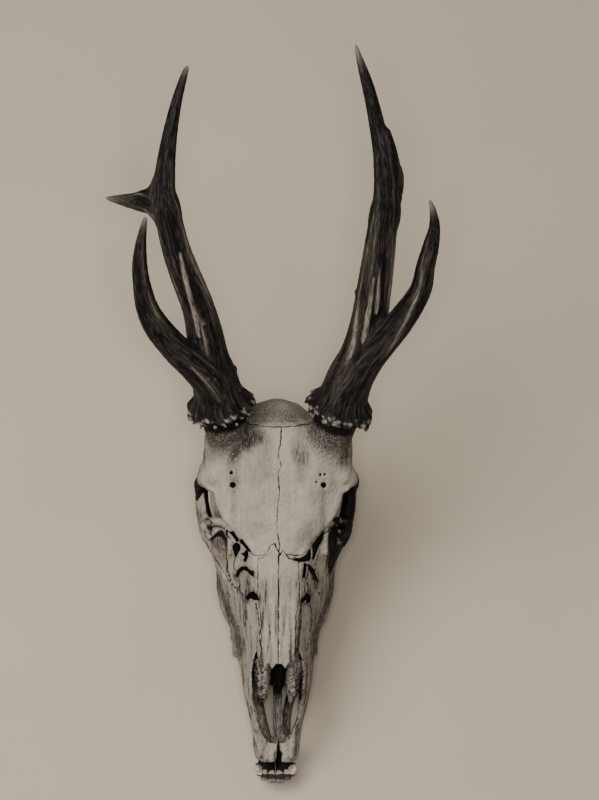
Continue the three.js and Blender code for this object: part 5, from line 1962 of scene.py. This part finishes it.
@dataclass
class Antler:
    """One antler: beam, front and rear tine and burr, with furrows, ridges and pearls."""

    side: Side
    beam: Rows
    front: Rows
    rear: Rows
    web: Rows
    # The keels' pale colour is partly a painted highlight.
    keels: Sequence[Rows]  # pale sharp ridges along the beam
    web_flat: float = 1.0
    burr_radius: float = 19.2
    knobs: int = 30
    pearls: int = 12

    def axis(self) -> Array:
        """Unit vector up the foot of the beam."""
        foot = np.asarray(self.beam, float)[:, :3]
        return (foot[1] - foot[0]) / np.linalg.norm(foot[1] - foot[0])

    def frame(self) -> tuple[Array, Array, Array, Array]:
        """Middle of the burr, and unit vectors up the beam, to its side and across both."""
        axis = self.axis()
        side = np.array([1.0, 0, 0]) - axis[0] * axis
        side /= np.linalg.norm(side)
        return np.asarray(self.beam[0][:3], float), axis, side, np.cross(axis, side)

    def pedicle(self) -> Limb:
        """The bony stalk that carries the antler."""
        sign = self.side.value
        middle, axis, _, _ = self.frame()
        under, foot = middle - axis * 10, middle - axis * 5
        return Limb(((sign * 23, 48, -12, 14), (sign * 25.5, 58, -4, 12.6), (*under, 11.6), (*foot, 12.2)))

    def burr(self, grid: Grid) -> None:
        """Joins the burr: a ring of knobs that lean outwards and down, with smaller ones between.

        Args:
            grid: the antler's grid.
        """
        random = np.random.default_rng(SEED + self.side.value)
        middle, axis, side, up = self.frame()
        ring = Limb(
            [(*(middle - axis * 7), 12.6), (*(middle - axis * 1), 13.6), (*(middle + axis * 7), 12.2)]
        )
        grid.add(ring, blend=2.0)
        window = grid.window(middle - 24, middle + 24)
        x, v, w = (a - c for a, c in zip(grid.axes(window), middle))
        rise = x * axis[0] + v * axis[1] + w * axis[2]
        a = x * side[0] + v * side[1] + w * side[2]
        b = x * up[0] + v * up[1] + w * up[2]
        out, turn = np.hypot(a, b), np.arctan2(b, a)
        share = np.clip((out - 11.5) / (self.burr_radius - 11.5), 0, 1.2)
        p, q, r, s = random.uniform(0, math.tau, 4)
        ruffle = (
            np.sin(9 * turn + p + 0.8 * np.sin(2 * turn + q))
            + 0.6 * np.sin(19 * turn + r + np.sin(3 * turn + s))
        )
        middle_height = 4.5 - 7.2 * share**1.3 + 1.5 * share**2 * ruffle
        edge = self.burr_radius * (0.94 + 0.035 * np.sin(9 * turn + p + 1.2) + 0.02 * np.sin(23 * turn + s))
        thick = 1.5 + 2.4 * (1 - np.clip(share, 0, 1)) + 0.4 * np.cos(23 * turn + s)
        skirt = np.maximum(np.abs(rise - middle_height) - thick, out - edge) * 0.75
        grid.value[window] = smooth_min(grid.value[window], skirt.astype(np.float32), 1.4)
        for seat, size in self.beads():
            grid.add(Ball(seat, (size, size, size)), blend=0.7)

    def beads(self) -> list[tuple[Array, float]]:
        """The pale beads along the burr's rim: their middles and radii."""
        random = np.random.default_rng(SEED * 3 + self.side.value)
        middle, _, side, up = self.frame()
        axis = self.axis()
        made = []
        for k in range(self.knobs):
            angle = (k + random.uniform(-0.8, 0.8)) / self.knobs * math.tau
            away = math.cos(angle) * side + math.sin(angle) * up
            reach = self.burr_radius * random.uniform(0.84, 0.97)
            made.append(
                (
                    middle + away * reach + axis * random.uniform(-5.4, 0.8),
                    0.5 + 0.9 * random.uniform() ** 2
                )
            )
        return made

    def grid(self) -> Grid:
        """The whole antler's distances on one grid.

        Returns:
            The grid.
        """
        stations = np.array([*self.beam, *self.front, *self.rear])
        low = stations[:, :3].min(axis=0) - 6
        high = stations[:, :3].max(axis=0) + 6
        middle = np.asarray(self.beam[0][:3])
        low = np.minimum(low, middle - 23)
        high = np.maximum(high, middle + 23)
        grid = Grid(low, high, ANTLER_STEP)
        grid.add(Limb(self.beam, pieces=8))
        grid.add(Limb(self.front, pieces=8), blend=3.0)
        grid.add(Limb(self.rear, pieces=6), blend=7.0)
        grid.add(Limb(self.web, self.web_flat), blend=5.0)
        for keel in self.keels:
            grid.add(Limb(keel, pieces=8), blend=1.6)
        self.burr(grid)
        centre, axis, _, _ = self.frame()
        x, v, w = grid.axes(grid.whole())
        height = (x - centre[0]) * axis[0] + (v - centre[1]) * axis[1] + (w - centre[2]) * axis[2]
        grid.value[:] = np.maximum(grid.value, -5.6 - height)
        grid.value[:] = ends_closed(grid.value)
        return grid

    def furrows(self, points: Array, rows: Rows, strength: float, seed: int) -> tuple[Array, ...]:
        """Furrow pattern of one limb at points near it.

        Ridges run along the limb: sines of whole numbers of turns about it, wandering a
        little along it, and fading towards the tip.

        Args:
            points: the places.
            rows: the limb's stations.
            strength: depth of the furrows at the limb's foot, in mm.
            seed: of the pattern.

        Returns:
            Height of the ridges in mm, their share from 0 to 1, the share along the limb, the
            distance outside the limb's radius, and the places drawn out along the limb.
        """
        middle, radius = Limb(rows, pieces=10).knots()
        best = np.full(len(points), np.inf)
        share = np.zeros(len(points))
        angle = np.zeros(len(points))
        thick = np.zeros(len(points))
        count = len(middle) - 1
        for i in range(count):
            span = middle[i + 1] - middle[i]
            length = np.linalg.norm(span)
            along = span / length
            side = np.array([1.0, 0, 0]) - along[0] * along
            side /= np.linalg.norm(side)
            up = np.cross(along, side)
            off = points - middle[i]
            run = np.clip(off @ along / length, 0, 1)
            away = off - run[:, None] * span
            gap = np.linalg.norm(away, axis=1) - (radius[i] + run * (radius[i + 1] - radius[i]))
            closer = gap < best
            best = np.where(closer, gap, best)
            share = np.where(closer, (i + run) / count, share)
            thick = np.where(closer, radius[i] + run * (radius[i + 1] - radius[i]), thick)
            angle = np.where(closer, np.arctan2(away @ up, away @ side), angle)
        random = np.random.default_rng(seed)
        height = np.zeros(len(points))
        sharp = np.zeros(len(points))
        for turns, depth in ((3, 1.0), (5, 0.7), (8, 0.5), (13, 0.3)):
            a, b, c = random.uniform(0, math.tau, 3)
            wander = 0.8 * np.sin(share * 6 + b) + 0.3 * np.sin(share * 17 + c) + 1.1 * share
            wave = np.cos(turns * angle + a + wander)
            there = smooth_step(np.sin(share * (5 + turns) + b), -0.7, 0.4)
            height += depth * there * (np.abs(wave) ** 0.8 * np.sign(wave))
            sharp = np.maximum(sharp, depth * there * np.maximum(wave, 0) ** (16 / turns + 2))
        fade = (1 - smooth_step(share, 0.4, 0.92)) * (0.5 + 0.5 * (1 - share))
        ridge = np.clip((0.35 + 0.2 * height) * (0.6 + 0.4 * fade) + 0.55 * sharp * (0.3 + 0.7 * fade), 0, 1)
        along = share * np.linalg.norm(np.diff(middle, axis=0), axis=1).sum()
        course = np.stack([thick * np.cos(angle), thick * np.sin(angle), 0.1 * along + 40 * seed], axis=1)
        return height * strength * 0.4 * fade, ridge, share, best, course

    def build(self, shop: Workshop) -> None:
        """Makes the antler as one piece.

        Args:
            shop: where the pieces are made.
        """
        grid = self.grid()
        full = grid.fullness(2.0)
        points, faces = grid.surface()
        points = relaxed(points, faces, 2)
        normal = outward(points, faces)
        # painted shade: the more antler about a place, the darker it is painted
        hollow = grid.sample(full, points + normal * 1.4)
        height = np.zeros(len(points))
        ridge = np.zeros(len(points))
        tip = np.zeros(len(points))
        weight = np.zeros(len(points)) + 1e-9
        course = np.zeros((len(points), 3))
        nearest = np.full(len(points), np.inf)
        limbs = ((self.beam, 0.85, 11), (self.front, 0.7, 12), (self.rear, 0.4, 13))
        for rows, strength, seed in limbs:
            h, r, share, gap, drawn = self.furrows(points, rows, strength, seed * 3 + self.side.value)
            course = np.where((gap < nearest)[:, None], drawn, course)
            nearest = np.minimum(nearest, gap)
            w = np.exp(-np.maximum(gap, 0) / 1.2)
            height += h * w
            ridge += r * w
            weight += w
            length = np.linalg.norm(np.diff(np.asarray(rows)[:, :3], axis=0), axis=1).sum()
            ending = smooth_step(-(1 - share) * length, -26, -1) * (gap < 2)
            tip = np.maximum(tip, ending**1.5)
        height, ridge = height / weight, ridge / weight
        centre, axis, side, up = self.frame()
        rise = (points - centre) @ axis
        away = np.linalg.norm(points - centre - rise[:, None] * axis, axis=1)
        at_burr = (1 - smooth_step(rise, 3, 12)) * smooth_step(away, 9, 13.5)
        random = np.random.default_rng(SEED * 7 + self.side.value)
        seats = points[random.integers(0, len(points), self.pearls * 30)]
        low_down = (seats - centre) @ axis
        inner = (
            seats[:, 0] * self.side.value < np.interp(
                seats[:, 1], [p[1] for p in self.beam], [abs(p[0]) for p in self.beam]
            )
            + 4
        )
        seats = seats[(low_down > 7) & (low_down < 75) & inner][: self.pearls]
        bump = np.zeros(len(points))
        for seat, size in zip(seats, random.uniform(0.9, 1.9, len(seats))):
            gap = ((points - seat) ** 2).sum(axis=1)
            bump = np.maximum(bump, np.exp(-gap / size**2) * size * 0.55)
        # painted highlight: the keels are marked as full ridges, which the finish paints pale
        for keel in self.keels:
            middle, radius = Limb(keel, pieces=30).knots()
            gap = np.min([np.linalg.norm(points - m, axis=1) - r for m, r in zip(middle, radius)], axis=0)
            ridge = np.maximum(ridge, 1 - smooth_step(gap, 0.1, 1.3))
        turn = np.arctan2((points - centre) @ up, (points - centre) @ side)
        fold = np.cos(17 * turn + 2.2 * np.sin(3 * turn + 0.1 * rise) + 0.1 * rise)
        fold += 0.7 * np.cos(31 * turn + 3 * np.sin(2 * turn + 0.15 * rise))
        ridge = ridge * (1 - 0.6 * at_burr) + 0.2 * at_burr * smooth_step(fold, 0.2, 1.6)
        height = height * (1 - at_burr) + 0.16 * at_burr * fold + bump + 0.05 * waves(points, 4, 21)
        points = points + normal * height[:, None]
        # pale pearls on the beam
        pearl = smooth_step(bump, 0.4, 1.0) * 0.3
        # 1 where the antler stands in the open, away from the painted shade
        open_air = smooth_step(-hollow, -0.40, -0.16)
        # the burr's beads painted pale where they stand in the open: pale beads and a painted highlight
        for seat, size in self.beads():
            gap = np.linalg.norm(points - seat, axis=1)
            share = min(0.7, 0.15 + 0.4 * size)
            pearl = np.maximum(pearl, share * (1 - smooth_step(gap, size, size + 1.0)) * open_air)
        # painted highlight along the burr's rim where it stands in the open
        rim = smooth_step(away, 0.86 * self.burr_radius, 0.96 * self.burr_radius) * at_burr * open_air
        pearl = np.maximum(pearl, 0.8 * rim * smooth_step(waves(points, 3.5, 5), 0.0, 1.0))
        pearl *= 0.4 + 0.6 * smooth_step(waves(points, 1.6, 8), -0.5, 0.5)
        marks = {"hollow": hollow, "ridge": ridge, "tip": tip, "pearl": pearl, "course": course}
        nodes = [
            f"antler_{self.side.word}_{part}" for part in ("beam", "top_tine", "front_tine", "rear_tine")
        ]
        shop.piece(f"antler_{self.side.word}", points, faces, shop.antler, marks, nodes, "antler")


LEFT_ANTLER = Antler(
    Side.LEFT,
    beam=(
        (-31.6, 78.4, 14, 13.3),
        (-35.3, 92.9, 21.5, 12.3),
        (-38.8, 103.7, 28, 10.9),
        (-41.3, 118.5, 35.5, 9.4),
        (-45.2, 132.2, 42, 8.4),
        (-51.7, 147.8, 49, 8),
        (-57.4, 163.3, 56, 7.4),
        (-62.2, 183.6, 64, 6.8),
        (-63.2, 194.2, 67.5, 5.8),
        (-61.4, 214.5, 73.5, 4.3),
        (-57.8, 234.4, 78, 3),
        (-53.2, 251.1, 81, 1.8),
        (-51.5, 255.1, 81.6, 0.6),
    ),
    front=(
        (-34.6, 85, 23, 9),
        (-38.9, 92, 29, 9),
        (-47, 100.5, 36, 8.6),
        (-56.1, 108, 42, 7.8),
        (-66, 119.1, 50, 7.1),
        (-71.9, 129.9, 57, 5.9),
        (-75.1, 142.5, 64, 4.7),
        (-76.2, 152.8, 69, 4),
        (-75.6, 164, 73.5, 2.8),
        (-73.9, 174.3, 77, 1.4),
        (-73.6, 176.2, 77.6, 0.6),
    ),
    rear=(
        (-62.9, 181.7, 62, 5.5),
        (-70.8, 184.8, 58, 5.9),
        (-78.5, 185.8, 54.5, 4.4),
        (-87.6, 186.8, 50, 2.4),
        (-92.1, 187.6, 47.2, 1.1),
        (-93.1, 187.8, 46.6, 0.6),
    ),
    web=((-74, 187.5, 58, 2.6), (-69.6, 190, 61, 2.9), (-66.4, 195.5, 65.5, 2.2)),
    keels=(
        (
            (-54.6, 158, 61.4, 0.5), (-53.4, 152, 59.4, 1.0), (-50.4, 140, 53.8, 1.2),
            (-46.8, 126.7, 48.0, 1.2), (-44.3, 115, 43.4, 0.8)
        ),
        ((-44.2, 128, 45.5, 0.5), (-38.2, 112, 39.6, 1.1), (-33.6, 98, 32.6, 0.8)),
    ),
)
RIGHT_ANTLER = Antler(
    Side.RIGHT,
    beam=(
        (32.2, 77, 13, 13.3),
        (36.8, 92.3, 21, 12.5),
        (40.9, 101.7, 27, 11.5),
        (44.4, 113.6, 33, 10.5),
        (46.8, 127.3, 39.5, 9.6),
        (49.7, 151.2, 51, 8.8),
        (51.7, 171.4, 60, 7.8),
        (53.3, 188.4, 66.5, 6.7),
        (51.4, 206.7, 73, 5.2),
        (49.3, 218.2, 76, 4.5),
        (45.6, 234.3, 80, 3.7),
        (42.7, 245.2, 82, 3.2),
        (38.9, 257.2, 84, 2.1),
        (36.2, 266.0, 85.3, 0.7),
    ),
    front=(
        (36, 86, 23, 8.6),
        (40.8, 94, 29.5, 8.4),
        (49.1, 106.4, 38.5, 8),
        (61.5, 121.8, 51, 7.3),
        (71.4, 137.9, 60.5, 5.8),
        (74, 151.2, 67.5, 5),
        (76.4, 161.8, 72, 4.3),
        (78.1, 171.5, 75.5, 3),
        (77.2, 179.7, 78.5, 1.9),
        (75.3, 185.6, 80, 0.6),
    ),
    rear=(
        (53.8, 178.9, 60, 5.9),
        (56.2, 185.9, 54, 5.9),
        (58.7, 193.6, 46.5, 4.7),
        (60.7, 199.8, 40, 3.2),
        (62.3, 205, 34.5, 0.8),
    ),
    web=(
        (53, 221, 75, 1.8), (56, 212.5, 71, 2.5), (58.2, 204, 65, 2.8), (60.2, 200.6, 54, 2.8),
        (61.4, 201.8, 43, 1.6)
    ),
    web_flat=2.0,
    keels=(
        ((47.4, 145, 57.2, 0.5), (46.6, 137, 53.2, 1.1), (44.2, 120, 46.8, 1.1), (42.0, 108, 40.8, 0.6)),
        ((50.2, 150, 59.4, 0.4), (50, 138, 54.2, 0.9), (49.4, 127, 49.6, 0.6)),
    ),
)


# ---------------------------------------------------------------------------------- the stage


@dataclass
class Stage:
    """Camera, floor and studio lights."""

    turn: float = math.radians(3)  # camera towards the skull's left side
    distance: float = 3000.0
    aim: Sequence[float] = (11.2, 81.1, 0.0)  # along the image, up the image, out of the face
    seen_height: float = 429.6  # of the image at the face's plane, mm
    sensor: float = 36.0
    sight: float = 20.0  # how far the camera sees, metres

    def towards_camera(self) -> Array:
        """Unit vector from the face to the camera, in the face frame."""
        return np.array([-math.sin(self.turn), 0, math.cos(self.turn)])

    def along_image(self) -> Array:
        """Unit vector to the right of the image, in the face frame."""
        return np.array([math.cos(self.turn), 0, math.sin(self.turn)])

    def camera(self, shop: Workshop) -> None:
        """Adds the camera, its top towards the antlers.

        Args:
            shop: holds the face frame.
        """
        back, right, up = self.towards_camera(), self.along_image(), np.array([0.0, 1, 0])
        aim = right * self.aim[0] + up * self.aim[1] + back * self.aim[2]
        place = shop.place.place((aim + back * self.distance)[None])[0]
        axes = np.stack([shop.place.turn(right), shop.place.turn(up), shop.place.turn(back)], axis=1)
        data = bpy.data.cameras.new("camera")
        data.sensor_width = self.sensor
        data.lens = self.sensor * self.distance / self.seen_height
        data.clip_end = self.sight
        made = bpy.data.objects.new("camera", data)
        matrix = Matrix(axes.tolist()).to_4x4()
        matrix.translation = Vector(place)
        made.matrix_world = matrix
        bpy.context.scene.collection.objects.link(made)
        bpy.context.scene.camera = made

    def floor(self) -> None:
        """Adds the pale floor that the skull lies on."""
        reach = 4.0
        mesh = bpy.data.meshes.new("floor")
        corners = [(-reach, -reach, 0), (reach, -reach, 0), (reach, reach, 0), (-reach, reach, 0)]
        mesh.from_pydata(corners, [], [(0, 1, 2, 3)])
        mesh.materials.append(FloorFinish().material("table_paper"))
        made = bpy.data.objects.new("floor", mesh)
        bpy.context.scene.collection.objects.link(made)

    def light(self, shop: Workshop, name: str, place: Sequence[float], size: float, power: float) -> None:
        """Adds a square soft light that faces the forehead.

        Args:
            shop: holds the face frame.
            name: of the light.
            place: right, up and out of the face from the forehead, in mm.
            size: of its side, in mm.
            power: in watts.
        """
        data = bpy.data.lights.new(name, "AREA")
        data.size = size * MM
        data.energy = power
        made = bpy.data.objects.new(name, data)
        aim = np.array([0.0, 40, 0])
        seat = shop.place.place((aim + np.asarray(place, float))[None])[0]
        target = shop.place.place(aim[None])[0]
        made.location = seat
        made.rotation_euler = (Vector(target) - Vector(seat)).to_track_quat("-Z", "Y").to_euler()
        bpy.context.scene.collection.objects.link(made)

    def build(self, shop: Workshop) -> None:
        """Makes the whole stage.

        Args:
            shop: holds the face frame.
        """
        self.camera(shop)
        self.floor()
        self.light(shop, "key", (-620, 420, 1200), 900, 26)
        self.light(shop, "front", (-70, 30, 1900), 260, 20)
        world = bpy.data.worlds.new("studio")
        world.use_nodes = True
        sky = world.node_tree.nodes["Background"]
        sky.inputs["Color"].default_value = paint(1.0, 0.97, 0.93)
        sky.inputs["Strength"].default_value = 0.34
        bpy.context.scene.world = world


def main() -> None:
    """Builds every piece in order, then the stage and the camera."""
    logging.basicConfig(level=logging.INFO, format="%(name)s %(message)s")
    shop = Workshop()
    antlers = (LEFT_ANTLER, RIGHT_ANTLER)
    Cranium(seats={antler.side: antler.pedicle() for antler in antlers}).build(shop)
    LowerJaw().build(shop)
    Teeth().build(shop)
    for antler in antlers:
        antler.build(shop)
    Stage().build(shop)


if __name__ == "__main__":
    main()
